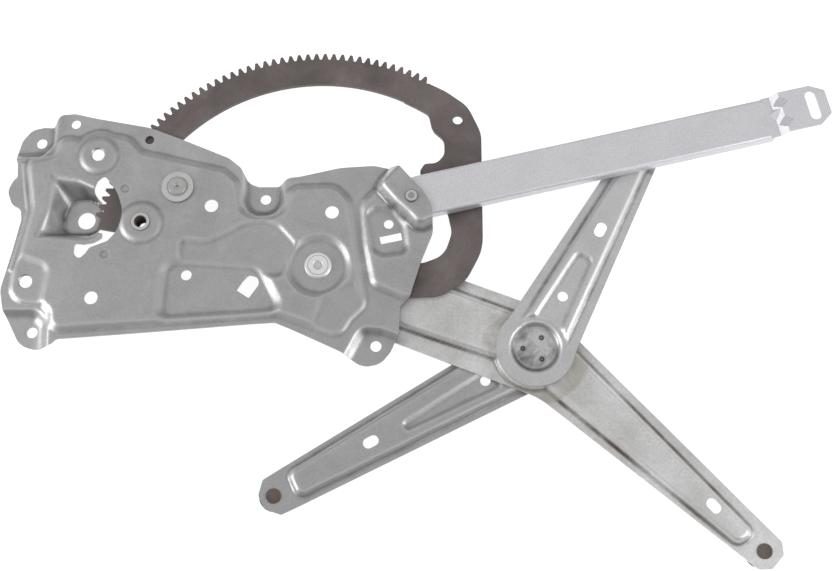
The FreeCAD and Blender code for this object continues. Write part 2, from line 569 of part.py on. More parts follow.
LOWER_OUTLINE = [
    along(CROSS, LOWER_DIRECTION, 4.9, -21.9, 3), along(LOWER_END, LOWER_DIRECTION, -9.7, -13.8, 8),
    along(LOWER_END, LOWER_DIRECTION, 1.4, -13.2, 2), along(LOWER_END, LOWER_DIRECTION, 8.9, -5.3, 4),
    along(LOWER_END, LOWER_DIRECTION, 9.3, 4.9, 2), along(LOWER_END, LOWER_DIRECTION, 1.4, 13.5, 2),
    along(LOWER_END, LOWER_DIRECTION, -10.9, 14.4, 8), along(CROSS, LOWER_DIRECTION, 5.5, 24.2, 3)]
LOWER_WEB_TOP = [
    along(CROSS, LOWER_DIRECTION, 10.8, -15.4, 4), along(LOWER_END, LOWER_DIRECTION, -17.1, -7.4, 4),
    along(LOWER_END, LOWER_DIRECTION, -15.9, 8.0, 4), along(CROSS, LOWER_DIRECTION, 6.1, 17.0, 4)]
LOWER_BEAD = [
    along(CROSS, LOWER_DIRECTION, 102.6, 1.1, 1), along(CROSS, LOWER_DIRECTION, 101.9, 4.1, 1),
    along(CROSS, LOWER_DIRECTION, 33.4, 8.6, 2), along(CROSS, LOWER_DIRECTION, 26.6, -3.6, 2)]
LOWER_SLOT = along(LOWER_END, LOWER_DIRECTION, -74.4, 0.3)[:2]
LOWER_HOLE = along(CROSS, LOWER_DIRECTION, 39.9, 1.5)[:2]


def lower_arm():
    blank = prism(LOWER_OUTLINE).fuse(cylinder(CROSS, HUB_RADIUS - 1.5, -FAR, FAR))
    presses = [(LOWER_WEB_TOP, LOWER_WEB, LOWER_FLANGE, 3.0),
               ([CROSS + (HUB_RADIUS - 1.5,)], LOWER_WEB, LOWER_FLANGE, 3.0),
               (LOWER_BEAD, LOWER_WEB - 2.0, LOWER_WEB, 2.5)]
    arm = stamping(blank, LOWER_FLANGE, presses, ARM_SHEET)
    arm = arm.fuse(cylinder(CROSS, CUP_RADIUS, LOWER_WEB - ARM_SHEET / 2, CUP_BACK))
    arm = arm.cut(cylinder(CROSS, CUP_RADIUS - ARM_SHEET, -FAR, CUP_BACK - ARM_SHEET))
    arm = arm.cut(slot(LOWER_SLOT, LOWER_DIRECTION - 1.2, ARM_SLOT_LENGTH, ARM_SLOT_WIDTH))
    arm = arm.cut(cylinder(LOWER_HOLE, JIG_HOLE, -FAR, FAR))
    return arm.cut(cylinder(LOWER_END, PIN_RADIUS, -FAR, FAR))


def cross_pivot_bush():
    flange = HUB_RADIUS - 4.0
    back = MAIN_WEB - ARM_SHEET
    bush = cylinder(CROSS, BUSH_OUTER, LOWER_WEB + RUNNING_FIT, MAIN_WEB + BUSH_FLANGE)
    bush = bush.fuse(cylinder(CROSS, flange, MAIN_WEB, MAIN_WEB + BUSH_FLANGE))
    bush = bush.fuse(cylinder(CROSS, flange - 1.0, back - BUSH_FLANGE, back))
    return bush.cut(cylinder(CROSS, BUSH_BORE, -FAR, FAR))


def rail_place(shape):
    """Move a shape from the rail's own axes to its place at the rail rivet."""
    shape.rotate(vec(0, 0), UP, RAIL_DIRECTION)
    shape.translate(vec(RAIL_RIVET[0], RAIL_RIVET[1]))
    return shape


def dart(low_end, high_end, left, right, far):
    """Wedge with a V face: a ridge between two ends, two side corners and plane sides up to far."""
    ends = [vec(*low_end), vec(*left), vec(*high_end), vec(*right)]
    tops = [vec(p.x, p.y, far) for p in ends]
    outlines = [(ends[0], ends[2], ends[1]), (ends[0], ends[3], ends[2]), tops]
    for i in range(4):
        j = (i + 1) % 4
        outlines.append((ends[i], ends[j], tops[j], tops[i]))
    faces = [Part.Face(Part.makePolygon(list(corners) + [corners[0]])) for corners in outlines]
    return Part.Solid(Part.Shell(faces))


def rail_end():
    """Web's end: a step up to the end tab, crossed by three darts, one raised and two sunk."""
    half = RAIL_WIDTH / 2
    high = RAIL_FACE + JOGGLE_RISE
    step = RAIL_LENGTH + JOGGLE_RUN
    begin = RAIL_FLANGE_END - 2
    profile = [(begin, -half, -FAR), (begin, -half, RAIL_FACE), (RAIL_LENGTH, -half, RAIL_FACE),
               (step, -half, high), (RAIL_TAB_END, -half, high), (RAIL_TAB_END, -half, -FAR)]
    points = [vec(*p) for p in profile]
    block = Part.Face(Part.makePolygon(points + [points[0]])).extrude(vec(0, RAIL_WIDTH, 0))
    foot = RAIL_FACE - 0.3
    block = block.fuse(dart((RAIL_LENGTH - 3.7, 1.8, RAIL_FACE), (step + 0.5, 3.2, high),
                            (RAIL_LENGTH, 5.4, foot), (RAIL_LENGTH - 0.5, -3.7, foot), 0.0))
    rim = high + 0.3
    for middle in (7.2, -7.4):
        block = block.cut(dart((RAIL_LENGTH - 0.7, middle, RAIL_FACE), (step + 6.3, middle + 0.6, high),
                               (step + 0.9, middle + 4.9, rim), (step + 0.4, middle - 4.0, rim), FAR))
    sheet = block.cut(block.translated(vec(0, 0, -RAIL_SHEET)))
    edge = prism([(begin, -half), (RAIL_TAB_END - 9.5, -half, 2), (RAIL_TAB_END, -8.5, 2),
                  (RAIL_TAB_END, 9.5, 2), (RAIL_TAB_END - 10, half, 2), (begin, half)])
    return sheet.common(edge)


def guide_rail():
    half = RAIL_WIDTH / 2
    lip = half - RAIL_LIP
    outline = [(-half, RAIL_FACE, 2.2), (-half, RAIL_BACK, 1.5), (-lip, RAIL_BACK, 0.4),
               (-lip, RAIL_BACK + RAIL_SHEET, 0.4), (RAIL_SHEET - half, RAIL_BACK + RAIL_SHEET, 0.3),
               (RAIL_SHEET - half, RAIL_FACE - RAIL_SHEET, 0.8)]
    section = outline + [(-y, z, r) for y, z, r in reversed(outline)]
    channel = Part.Face(loop(section, 0)).extrude(vec(0, 0, RAIL_FLANGE_END - RAIL_START))
    channel.rotate(vec(0, 0), vec(1, 1, 1), 120)
    channel.translate(vec(RAIL_START, 0))
    tongue_face = RAIL_FACE - RAIL_SHEET
    tongue = prism([(RAIL_START + 3, 1 - half, 1), (RAIL_START + 3, half - 1, 1), (2.5, half - 1, 4),
                    (-7.6, 6.4, 6.4), (-7.6, -2.9, 4), (0.2, 1 - half, 3)], tongue_face, RAIL_FACE)
    rail = channel.fuse(tongue).fuse(rail_end())
    rail = rail.cut(slot((SLOT_AT, 0), 90.0, SLOT_LENGTH, SLOT_WIDTH))
    rail = rail.cut(cylinder(ORIGIN, RAIL_SHANK + RUNNING_FIT, -FAR, FAR))
    return rail_place(rail)


def rail_washer():
    return ring(RAIL_RIVET, 8.0, RAIL_SHANK + RUNNING_FIT, RAIL_FACE, TAB_FACE - PLATE_SHEET)


def rail_rivet():
    back = RAIL_FACE - RAIL_SHEET - 0.1
    return rivet(RAIL_RIVET, RAIL_SHANK, RAIL_HEAD, TAB_FACE + 1.2, TAB_FACE, back, back - 1.6)


def main_pivot_rivet():
    back = MAIN_WEB - ARM_SHEET - 0.9
    return rivet(PIVOT, PIVOT_SHANK, PIVOT_HEAD, PIVOT_FACE + 3.0, PIVOT_FACE, back, back - 2.4, 0.8)


def pivot_washer():
    return ring(PIVOT, 15.0, PIVOT_SHANK + RUNNING_FIT, GEAR_FRONT + 0.05, PIVOT_FACE - PLATE_SHEET - 0.05)


def pivot_back_washer():
    back = MAIN_WEB - ARM_SHEET
    return ring(PIVOT, 13.0, PIVOT_SHANK + RUNNING_FIT, back - 0.85, back - 0.05)


def stop_washer():
    return ring(STOP, 11.3, RIVET_RADIUS, PANEL_FACE, PANEL_FACE + 1.6)


def stop_buffer():
    back = PANEL_FACE - PLATE_SHEET
    return ring(STOP, STOP_RADIUS, RIVET_RADIUS, GEAR_BACK - 0.6, back)


def stop_rivet():
    top = PANEL_FACE + 1.6
    back = GEAR_BACK - 0.6
    return rivet(STOP, RIVET_RADIUS, 6.3, top + 1.4, top, back, back - 1.4, 0.5)


def roller(centre, radius, bore, low, high):
    """Plastic roller, crowned at both rims."""
    crown = 0.8
    outline = [(bore, low), (radius - crown, low), (radius, low + crown), (radius, high - crown),
               (radius - crown, high), (bore, high)]
    points = [vec(centre[0] + x, centre[1], z) for x, z in outline]
    face = Part.Face(Part.makePolygon(points + [points[0]]))
    return face.revolve(vec(centre[0], centre[1], 0), UP, 360)


def roller_stud(centre, face, sheet_back, top):
    """Stud riveted in an arm tip, with a shoulder and an end flange for its roller."""
    low = top - ROLLER_HEIGHT
    stud = cylinder(centre, PIN_RADIUS, low - 0.3, face + 0.6)
    stud = stud.fuse(cylinder(centre, RIVET_RADIUS + 0.9, face, face + 0.9))
    stud = stud.fuse(cylinder(centre, PIN_RADIUS + 2.0, top + RUNNING_FIT, sheet_back))
    return stud.fuse(cylinder(centre, PIN_RADIUS + 1.6, low - 1.2, low - 0.1))


def upper_stud():
    back = UPPER_WEB - ARM_SHEET
    stud = cylinder(UPPER_END, PIN_RADIUS, back, UPPER_WEB)
    return stud.fuse(cylinder(UPPER_END, PIN_RADIUS + 2.0, back - 1.4, back))


def upper_roller_pin():
    low = UPPER_WEB + SEAT_GAP
    top = UPPER_SEAT + UPPER_ROLLER_HEIGHT
    pin = cylinder(UPPER_END, PIN_RADIUS, low, top + 0.5)
    pin = pin.fuse(cylinder(UPPER_END, PIN_RADIUS + 2.0, low, UPPER_SEAT - 0.1))
    return pin.fuse(cylinder(UPPER_END, PIN_RADIUS + 1.6, top + 0.1, top + 0.7))


def main():
    os.makedirs("parts", exist_ok=True)
    low = ROLLER_TOP - ROLLER_HEIGHT
    bore = PIN_RADIUS + RUNNING_FIT
    high = UPPER_SEAT + UPPER_ROLLER_HEIGHT
    pieces = {
        "base_plate": base_plate(),
        "motor_screw_bush": motor_screw_bush(),
        "stop_washer": stop_washer(),
        "stop_buffer": stop_buffer(),
        "stop_rivet": stop_rivet(),
        "main_pivot_rivet": main_pivot_rivet(),
        "pivot_washer": pivot_washer(),
        "pivot_back_washer": pivot_back_washer(),
        "sector_gear": sector_gear(),
        "sector_rivets": sector_rivets(),
        "main_arm": main_arm(),
        "cross_pivot_bush": cross_pivot_bush(),
        "upper_arm": upper_arm(),
        "lower_arm": lower_arm(),
        "upper_stud": upper_stud(),
        "guide_rail": guide_rail(),
        "rail_washer": rail_washer(),
        "rail_rivet": rail_rivet(),
        "upper_roller_pin": upper_roller_pin(),
        "upper_roller": roller(UPPER_END, UPPER_ROLLER_RADIUS, bore, UPPER_SEAT, high),
        "main_roller_stud": roller_stud(MAIN_END, MAIN_FLANGE, MAIN_BACK, ROLLER_TOP),
        "main_roller": roller(MAIN_END, ROLLER_RADIUS, bore, low, ROLLER_TOP),
        "lower_roller_stud": roller_stud(LOWER_END, LOWER_FLANGE, LOWER_BACK, ROLLER_TOP),
        "lower_roller": roller(LOWER_END, ROLLER_RADIUS, bore, low, ROLLER_TOP)}
    for name, shape in pieces.items():
        save(shape, name)


main()
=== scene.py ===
import math

import bmesh
import bpy
import numpy as np
from mathutils import Matrix, Vector


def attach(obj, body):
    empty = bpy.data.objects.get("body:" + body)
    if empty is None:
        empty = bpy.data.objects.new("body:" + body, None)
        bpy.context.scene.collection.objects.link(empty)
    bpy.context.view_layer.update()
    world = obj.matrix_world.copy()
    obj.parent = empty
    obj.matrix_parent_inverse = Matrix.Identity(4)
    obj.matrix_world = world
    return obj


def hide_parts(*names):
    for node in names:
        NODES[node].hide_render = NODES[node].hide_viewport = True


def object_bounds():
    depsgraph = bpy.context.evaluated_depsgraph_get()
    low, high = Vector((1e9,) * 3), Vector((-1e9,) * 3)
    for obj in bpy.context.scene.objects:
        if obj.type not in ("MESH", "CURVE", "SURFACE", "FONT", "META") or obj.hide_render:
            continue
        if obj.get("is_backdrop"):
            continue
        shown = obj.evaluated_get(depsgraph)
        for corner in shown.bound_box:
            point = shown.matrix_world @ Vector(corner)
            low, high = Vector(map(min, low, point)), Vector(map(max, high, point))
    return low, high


bl_info = {
    "name": "Window regulator",
    "version": (1, 0, 0),
    "blender": (4, 5, 0),
    "location": "3D View > Sidebar > Regulator",
    "description": "Dresses a cross-arm window regulator and sets it on a studio floor",
    "category": "Object",
}

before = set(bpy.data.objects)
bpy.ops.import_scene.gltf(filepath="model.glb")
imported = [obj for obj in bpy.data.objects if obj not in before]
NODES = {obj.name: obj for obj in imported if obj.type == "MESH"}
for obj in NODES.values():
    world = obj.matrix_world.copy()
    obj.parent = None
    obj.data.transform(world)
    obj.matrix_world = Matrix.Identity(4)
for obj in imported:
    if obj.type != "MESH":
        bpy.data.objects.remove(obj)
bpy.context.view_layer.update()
MM = 0.001

# Places of the linkage at rest, in millimetres
PIVOT = (165.841, -37.374)
CROSS = (314.990, -94.179)
MAIN_END = (462.413, -230.218)
UPPER_END = (393.941, 47.681)
LOWER_END = (137.699, -193.263)
RAIL_RIVET = (230.3, 9.6)
STOP = (66.393, 19.58)
MAIN_ROOT_DIRECTION, MAIN_DIRECTION = -20.4, -42.7
UPPER_DIRECTION, LOWER_DIRECTION = 60.902, -150.8
RAIL_DIRECTION = 13.1

# Front faces of the stamped sheets, in millimetres
EAR, BORDER, STEP, PANEL, SEAT, TAB = 6.0, 12.0, 13.7, 15.0, 16.8, 24.2
MAIN_FLANGE, MAIN_WEB = 0.8, 5.8
UPPER_FLANGE, UPPER_WEB, CUP_FLOOR = 8.3, 11.3, 4.9
LOWER_WEB, LOWER_FLANGE = -1.7, -5.2


def along(centre, degrees, s, t, radius=0.0):
    """Corner at s along a direction and t to its left."""
    angle = math.radians(degrees)
    c, d = math.cos(angle), math.sin(angle)
    return (centre[0] + s * c - t * d, centre[1] + s * d + t * c, radius)


PLATE_OUTLINE = [
    (-48.5, 38.5, 3), (-51, 46, 6), (-48.5, 58, 10), (-42, 66.5, 9), (-33, 68.5, 8), (-25, 67.5, 2),
    (-23, 72, 4), (-20, 75.8, 5), (-10, 76.5, 8), (5, 73, 30), (45, 65.5, 40), (70, 55.5, 40),
    (101, 42.5, 10), (110, 35, 8), (115, 25.5, 8), (122, 22.8, 5), (137, 22.8, 5), (144, 27.5, 6),
    (152, 28.5, 20), (180, 35, 40), (204, 36.5, 20), (217, 33.5, 3), (221.7, 32.5, 1.5),
    (230.3, 22.5, 3), (238, 14, 20), (244.5, 3, 12), (245.3, -14, 14), (236.5, -36, 40),
    (229.5, -59, 6), (222.5, -65.5, 4), (221.8, -84, 6), (216, -97, 12), (209, -105.5, 12),
    (197, -107.5, 12), (181.5, -97.5, 20), (150, -83, 40), (137, -77.5, 6), (120, -78.6, 30),
    (40, -85, 60), (-12, -88.8, 5), (-15, -92, 3), (-26, -95.5, 12), (-38, -92.5, 12),
    (-43.5, -82, 12), (-50, -69, 12), (-53, -54, 14), (-47, -27, 30), (-42.5, -3, 6),
    (-43.5, 4.5, 5), (-50, 8, 6), (-54, 18, 8), (-50.5, 26, 6), (-47.8, 28.5, 2)]

# Presses of the plate: corners, new face, old face, run of the wall, and the rounding of its
# upper edge where it isn't the usual one
PLATE_PRESSES = [
    ([(-39, 38.5, 3), (-29, 40, 6), (-20, 43, 8), (-17, 56.5, 5), (-5, 53.5, 6), (2, 58, 8), (9, 60.5, 8),
      (19, 57, 8), (28, 55.5, 10), (38, 45, 6), (98, 30.5, 6), (105, 24, 6), (109, 2, 8),
      (118, -5, 8), (133, -5, 8), (143, 2, 8), (147, 18, 6), (176, 19, 10), (185, 9, 8),
      (189, -20, 30), (196, -64, 6), (186, -74, 6), (180, -84, 6), (145, -71, 10), (138, -69, 8),
      (52, -75.5, 8), (-14, -80, 5), (-15.5, -68, 8), (-22, -62, 8), (-43, -59, 8), (-42, -42, 20),
      (-37.5, -20, 20), (-33, 5, 20)], PANEL, BORDER, 4.5),
    ([(197.5, 8, 6), (221, 31, 3), (262, 31, 3), (262, -56, 3), (226, -58, 5), (205.5, -49, 5),
      (200.5, -22, 20)], PANEL, BORDER, 4.0),
    ([(209, 20, 4), (222, 34, 2), (240, 44, 2), (264, 14, 2), (250, -3, 3), (235.5, -9, 4),
      (229, -1.5, 6), (219.5, 7.5, 5)], TAB, PANEL, 5.0, 1.8),
    ([(71, -20, 1.5), (89, -21.5, 12), (103, -14, 8), (116, -7, 8), (128, -6, 8), (137, -9.5, 6),
      (150, -24, 6), (139, -44, 4), (71, -36, 1.5)], STEP - 0.6, PANEL, 3.0),
    ([(62, -36, 8), (123, -39.5, 8), (137, -67, 4), (60.5, -72, 4)], 11.5, PANEL, 6.5),
    ([(200, 0, 3), (206, 4, 6), (216, 2, 5), (223.5, -9, 5), (226, -27, 4), (211, -29, 4),
      (205, -26, 5)], 12.2, PANEL, 3.6, 1.8),
    ([(171.5, -58, 3), (164.5, -79.5, 3), (163, -98, 3), (196, -98, 3), (197, -66, 3),
      (190, -50, 3)], STEP, PANEL, 3.5),
    ([(-60, -33.5, 3), (-38, -33.5, 4), (-23, -39, 5), (-26.5, -66, 3), (-60, -66, 3)],
     STEP, PANEL, 4.0),
    ([PIVOT + (18.5,)], BORDER, PANEL, 4.5),
    ([(-62, 45.5, 2), (-33, 47.5, 6), (-27, 53.5, 6), (-26, 85, 2), (-62, 85, 2)], EAR, PANEL, 6.0, 2.0),
    ([(-62, -73, 2), (-28.5, -73, 5), (-23.5, -78, 5), (-22.5, -112, 2), (-62, -112, 2)],
     EAR, PANEL, 9.0, 3.5),
    ([(197.5, -85, 5), (187, -105, 4), (190, -125, 2), (240, -125, 2), (240, -98, 2),
      (209, -86, 6)], EAR, PANEL, 8.0, 3.0),
    ([(115.8, 3, 9), (136.3, 3, 9), (138, 45, 2), (113.5, 45, 2)], EAR, PANEL, 6.0),
    ([(9.2, 43.6, 11.2)], SEAT, PANEL, 2.7),
    ([(42, -6.3, 12.5)], SEAT, PANEL, 2.7),
    ([(29.3, 18.7, 2.4)], PANEL - 0.4, PANEL, 0.9),
    ([(17.8, -29.5, 2.4)], PANEL - 0.4, PANEL, 0.9),
    ([(-44.8, 39, 0.5), (-42, 20, 9), (-38.8, 4, 5), (-40.5, -8, 9), (-47.5, -40, 0.5), (-45.9, -40.5, 0.5),
      (-38.9, -9, 9), (-37.2, 4, 5), (-40.4, 20, 9), (-43.2, 39, 0.5)], BORDER + 0.9, BORDER, 1.2)]
COLLARS = [(9.2, 43.6, SEAT), (-35.5, -48.5, STEP), (42, -6.3, SEAT)]

# The pinion bracket's floor and mouth, corner by corner
BRACKET_FLOOR = [(-14.5, -10.4, 8), (-15.5, 3, 14), (-11.5, 13.5, 9), (0, 15.8, 10), (10.5, 13, 8),
                 (10.5, -10.4, 8)]
BRACKET_MOUTH = [(-29, -15.5, 2.5), (-23, 2, 24), (-21.5, 26.5, 2.5), (-3, 23.5, 16), (14, 15.5, 8),
                 (15.5, -18.5, 12)]

PLATE_HOLES = [
    [(7, 17, 1.5), (9.5, 24.5, 4), (14, 28.5, 2), (17, 25.5, 2), (24.5, 15.5, 24), (29.5, 0, 27),
     (25, -13.5, 24), (19.3, -19.8, 0.8), (12, -22.7, 6), (7.3, -24.6, 1.5), (4.5, -29, 4),
     (0.5, -33, 3), (-3.5, -29, 4), (-3.3, -21.5, 2), (3, -22.2, 4), (10, -21, 6), (15.5, -17.5, 2),
     (15.2, -8, 6), (16, 2, 8), (14, 9.5, 6), (9, 14, 2)],
    [(109.8, -54.5, 0.5), (118.5, -60.1, 0.5), (125.5, -50, 4), (124, -45, 3), (118, -43.5, 3),
     (114, -48, 2)],
    [(207.9, -16.2, 0.4), (222.8, -13, 0.4), (224, -18.7, 0.4), (209.2, -21.7, 0.4)],
    [(-34.4, 56.2, 3.8)], [(-30.1, -83.1, 3.8)], [(206, -93, 3.8)], [(127.3, 13.5, 3.8)],
    [(9.2, 43.6, 4.4)], [(-35.5, -48.5, 4.4)], [(-9.3, 68.6, 3.4)], [(44, 56.5, 3.2)],
    [(90.5, 6, 4.8)], [(174.9, 1, 4.8)], [(10.8, -60.5, 4.7)], [(74.7, -43.5, 3.8)],
    [(214.4, -7, 3.4)], [(0, 0, 6.3)], [(42, -6.3, 6.6)], [PIVOT + (8,)], [STOP + (4.2,)],
    [RAIL_RIVET + (3.4,)]]

DIMPLES = [(29.3, 18.7), (17.8, -29.5)]

# Cones that widen the collars' mouths: lower and upper radius, half height
COLLAR_CONE = (3.8, 6.8, 1.4)

# Sleeve in the motor screw's bush: bore, outer radius, low, high, pitch. Its dark finish is partly the
# thread's own colour and partly painted shade in the bore
THREAD = (3.6, 4.38, 2.0, 16.6, 1.0)

# Upper part of the bracket's wall that the window takes away
WINDOW_SIDE = [(10.8, -13, 3), (17.5, -15, 1), (17.5, 12, 1), (10.8, 11, 3)]

# Ring that the sector sweeps behind the plate: radii, low and high
SECTOR_RING = (136.5, 163.5, 4.8, 10.3)

# Part of the plate that the pocket's wall is worked out for: its middle and half its width
POCKET_MIDDLE, POCKET_REACH = (-8, 4), 42

# Heights between which a blank or a hole is cut
CUT_LOW, CUT_HIGH = -40, 60

# Steps of a circle, of a rounded corner and of the pocket's wall
CIRCLE_STEPS, CORNER_STEPS, POCKET_STEPS = 48, 7, 24
SHARP_EDGE = math.radians(38)

MAIN_OUTLINE = [
    along(PIVOT, MAIN_ROOT_DIRECTION, -28.5, 28.5, 28), along(CROSS, MAIN_DIRECTION, -11.4, 27.1, 25),
    along(MAIN_END, MAIN_DIRECTION, 4.6, 12.6, 2), along(MAIN_END, MAIN_DIRECTION, 10.9, 6.7, 2),
    along(MAIN_END, MAIN_DIRECTION, 11, -5.5, 2), along(MAIN_END, MAIN_DIRECTION, 4.9, -11.5, 3),
    along(CROSS, MAIN_DIRECTION, 24.1, -23.1, 40), along(PIVOT, MAIN_ROOT_DIRECTION, -28.5, -28.5, 28)]
MAIN_PRESSES = [
    ([along(PIVOT, MAIN_ROOT_DIRECTION, -22, 18, 16), along(PIVOT, MAIN_ROOT_DIRECTION, 150, 16, 6),
      along(PIVOT, MAIN_ROOT_DIRECTION, 150, -14, 6), along(PIVOT, MAIN_ROOT_DIRECTION, -22, -18, 16)],
     MAIN_WEB, MAIN_FLANGE, 3.5),
    ([along(CROSS, MAIN_DIRECTION, 4.6, 16.4, 4), along(MAIN_END, MAIN_DIRECTION, -14.6, 2.6, 3),
      along(MAIN_END, MAIN_DIRECTION, -17.1, -6.8, 4), along(CROSS, MAIN_DIRECTION, 4.5, -13.7, 4)],
     MAIN_WEB, MAIN_FLANGE, 3.5),
    ([CROSS + (25.5,)], MAIN_WEB, MAIN_FLANGE, 3.5)]
MAIN_HOLES = [[PIVOT + (8.05,)], [CROSS + (18.55,)], [MAIN_END + (4,)]]
MAIN_SLOT = along(MAIN_END, MAIN_DIRECTION, -43.6, -0.5)[:2]

UPPER_OUTLINE = [
    along(CROSS, UPPER_DIRECTION, 0, 26.2), along(CROSS, UPPER_DIRECTION, 0, -26.2),
    along(CROSS, UPPER_DIRECTION, 172.55, -12.6, 6), along(CROSS, UPPER_DIRECTION, 172.55, 12.6, 6)]
UPPER_PRESSES = [
    ([along(CROSS, UPPER_DIRECTION, 10, 14.5, 2), along(CROSS, UPPER_DIRECTION, 10, -14.5, 2),
      along(CROSS, UPPER_DIRECTION, 158, -5.5, 2), along(CROSS, UPPER_DIRECTION, 158, 5.5, 2)],
     UPPER_WEB, UPPER_FLANGE, 3.0),
    ([along(CROSS, UPPER_DIRECTION, 155, 24, 2), along(CROSS, UPPER_DIRECTION, 155, -24, 2),
      along(CROSS, UPPER_DIRECTION, 190, -24, 2), along(CROSS, UPPER_DIRECTION, 190, 24, 2)],
     UPPER_WEB, UPPER_FLANGE, 3.0),
    ([along(CROSS, UPPER_DIRECTION, 18, 9.5, 2), along(CROSS, UPPER_DIRECTION, 18, -9.5, 2),
      along(CROSS, UPPER_DIRECTION, 73, -5, 4), along(CROSS, UPPER_DIRECTION, 73, 5, 4)],
     UPPER_FLANGE + 1, UPPER_WEB, 2.6),
    ([CROSS + (20.5,)], UPPER_FLANGE, UPPER_WEB, 3.0),
    ([CROSS + (15.6,)], CUP_FLOOR, UPPER_FLANGE, 2.2)]
WELDS = [along(CROSS, 60 + 120 * i, 8.6, 0, 1.5) for i in range(3)]
UPPER_PRESSES += [([weld], CUP_FLOOR - 0.5, CUP_FLOOR, 0.5) for weld in WELDS]
UPPER_HOLES = [[UPPER_END + (4,)], [along(CROSS, UPPER_DIRECTION, 40.5, 0.35, 3.6)]]
UPPER_SLOT = along(CROSS, UPPER_DIRECTION, 95.5, -0.5)[:2]

LOWER_OUTLINE = [
    along(CROSS, LOWER_DIRECTION, 4.9, -21.9, 3), along(LOWER_END, LOWER_DIRECTION, -9.7, -13.8, 8),
    along(LOWER_END, LOWER_DIRECTION, 1.4, -13.2, 2), along(LOWER_END, LOWER_DIRECTION, 8.9, -5.3, 4),
    along(LOWER_END, LOWER_DIRECTION, 9.3, 4.9, 2), along(LOWER_END, LOWER_DIRECTION, 1.4, 13.5, 2),
    along(LOWER_END, LOWER_DIRECTION, -10.9, 14.4, 8), along(CROSS, LOWER_DIRECTION, 5.5, 24.2, 3)]
LOWER_PRESSES = [
    ([along(CROSS, LOWER_DIRECTION, 10.8, -15.4, 4), along(LOWER_END, LOWER_DIRECTION, -17.1, -7.4, 4),
      along(LOWER_END, LOWER_DIRECTION, -15.9, 8, 4), along(CROSS, LOWER_DIRECTION, 6.1, 17, 4)],
     LOWER_WEB, LOWER_FLANGE, 3.0),
    ([CROSS + (26,)], LOWER_WEB, LOWER_FLANGE, 3.0),
    ([along(CROSS, LOWER_DIRECTION, 102.6, 1.1, 1), along(CROSS, LOWER_DIRECTION, 101.9, 4.1, 1),
      along(CROSS, LOWER_DIRECTION, 33.4, 8.6, 2), along(CROSS, LOWER_DIRECTION, 26.6, -3.6, 2)],
     LOWER_WEB - 2, LOWER_WEB, 2.5),
    ([CROSS + (16.4,)], 2.9, LOWER_WEB, 0.8)]
LOWER_HOLES = [[along(CROSS, LOWER_DIRECTION, 39.9, 1.5, 3.6)], [LOWER_END + (4,)]]
LOWER_SLOT = along(LOWER_END, LOWER_DIRECTION, -74.4, 0.3)[:2]

# Round ends of the equalizer's arms, and the slots in all three arms
UPPER_HUB, LOWER_HUB = 27.0, 26
SLOT_LENGTH, SLOT_WIDTH = 11, 7.4

# Rings coloured on a finish: radius in millimetres and how much of the colour shows there
# Painted shade: dark rings round the rims of the two dimples
DIMPLE_SHADE_RINGS = ((0, 0), (1.9, 0), (2.3, 0.7), (2.9, 0.5), (3.3, 0))
# Darker in patches over a disc round the cross hub
HUB_DARK_DISC = ((0, 0.8), (37, 0.8), (39.5, 0))
CUP_WEAR = ((0, 0.9), (12.5, 0.9), (14, 0))
WELD_RINGS = ((0, 0.2), (0.5, 0.2), (0.9, 0.95), (1.6, 0.8), (2.1, 0))
PIVOT_RINGS = ((0, 0.3), (2.2, 0.3), (2.5, 0.9), (2.8, 0), (6.6, 0), (7.0, 0.8), (7.4, 0))
RIVET_RINGS = ((0, 0.45), (2.1, 0.45), (2.5, 0), (3.8, 0), (4.2, 0.95))
# Painted shade: nearly black inside the motor screw bush's bore, with a dark ring round its rim
BUSH_SHADE_RINGS = ((0, 1), (4.15, 1), (4.4, 0), (6.2, 0), (6.6, 0.8))
STOP_RINGS = ((0, 0.9), (0.9, 0.9), (1.2, 0.35), (6.9, 0.35), (7.2, 0.85), (7.6, 0), (11.0, 0),
              (11.3, 0.7))
# Painted highlight: a light zinc colour along the walls' upper edges, and how much of it shows
CREST_HIGHLIGHT, HIGHLIGHT_SHARE = (0.75, 0.75, 0.77), 0.3

# Lamps: name, place and size in metres, power in watts
LAMPS = (("key", (-1.15, -0.25, 0.75), 0.9, 9.0), ("fill", (1.3, -0.5, 0.7), 1.0, 6.0))
STUDIO_MIDDLE = Vector((0.24, -0.08, 0.0))
FLOOR_MIDDLE, FLOOR_HALF, FLOOR_GAP = (0.24, -0.1), 4, 0.0005

# The camera of the photo: focal length and width in picture points, place in millimetres, angles
FOCAL_LENGTH, PICTURE_WIDTH, SENSOR_WIDTH = 1290, 833, 36
CAMERA_PLACE = (238.83, -294.47, 865.08)
CAMERA_TILT, CAMERA_ROLL = math.radians(-15.9), math.radians(-0.34)


class RegulatorSizes(bpy.types.PropertyGroup):
    """Sheet thicknesses and how softly the press rounds its walls."""
    plate_sheet: bpy.props.FloatProperty(
        name="Plate sheet", description="Thickness of the base plate in millimetres", default=1.8, min=0.5)
    arm_sheet: bpy.props.FloatProperty(
        name="Arm sheet", description="Thickness of the arms in millimetres", default=2.0, min=0.5)
    grain: bpy.props.FloatProperty(
        name="Mesh step", description="Spacing of the points over a sheet in millimetres",
        default=1.0, min=0.5)
    top_round: bpy.props.FloatProperty(
        name="Upper rounding", description="Rounding along the top of a wall in millimetres", default=1.1)
    foot_round: bpy.props.FloatProperty(
        name="Foot rounding", description="Rounding along the foot of a wall in millimetres", default=0.6)


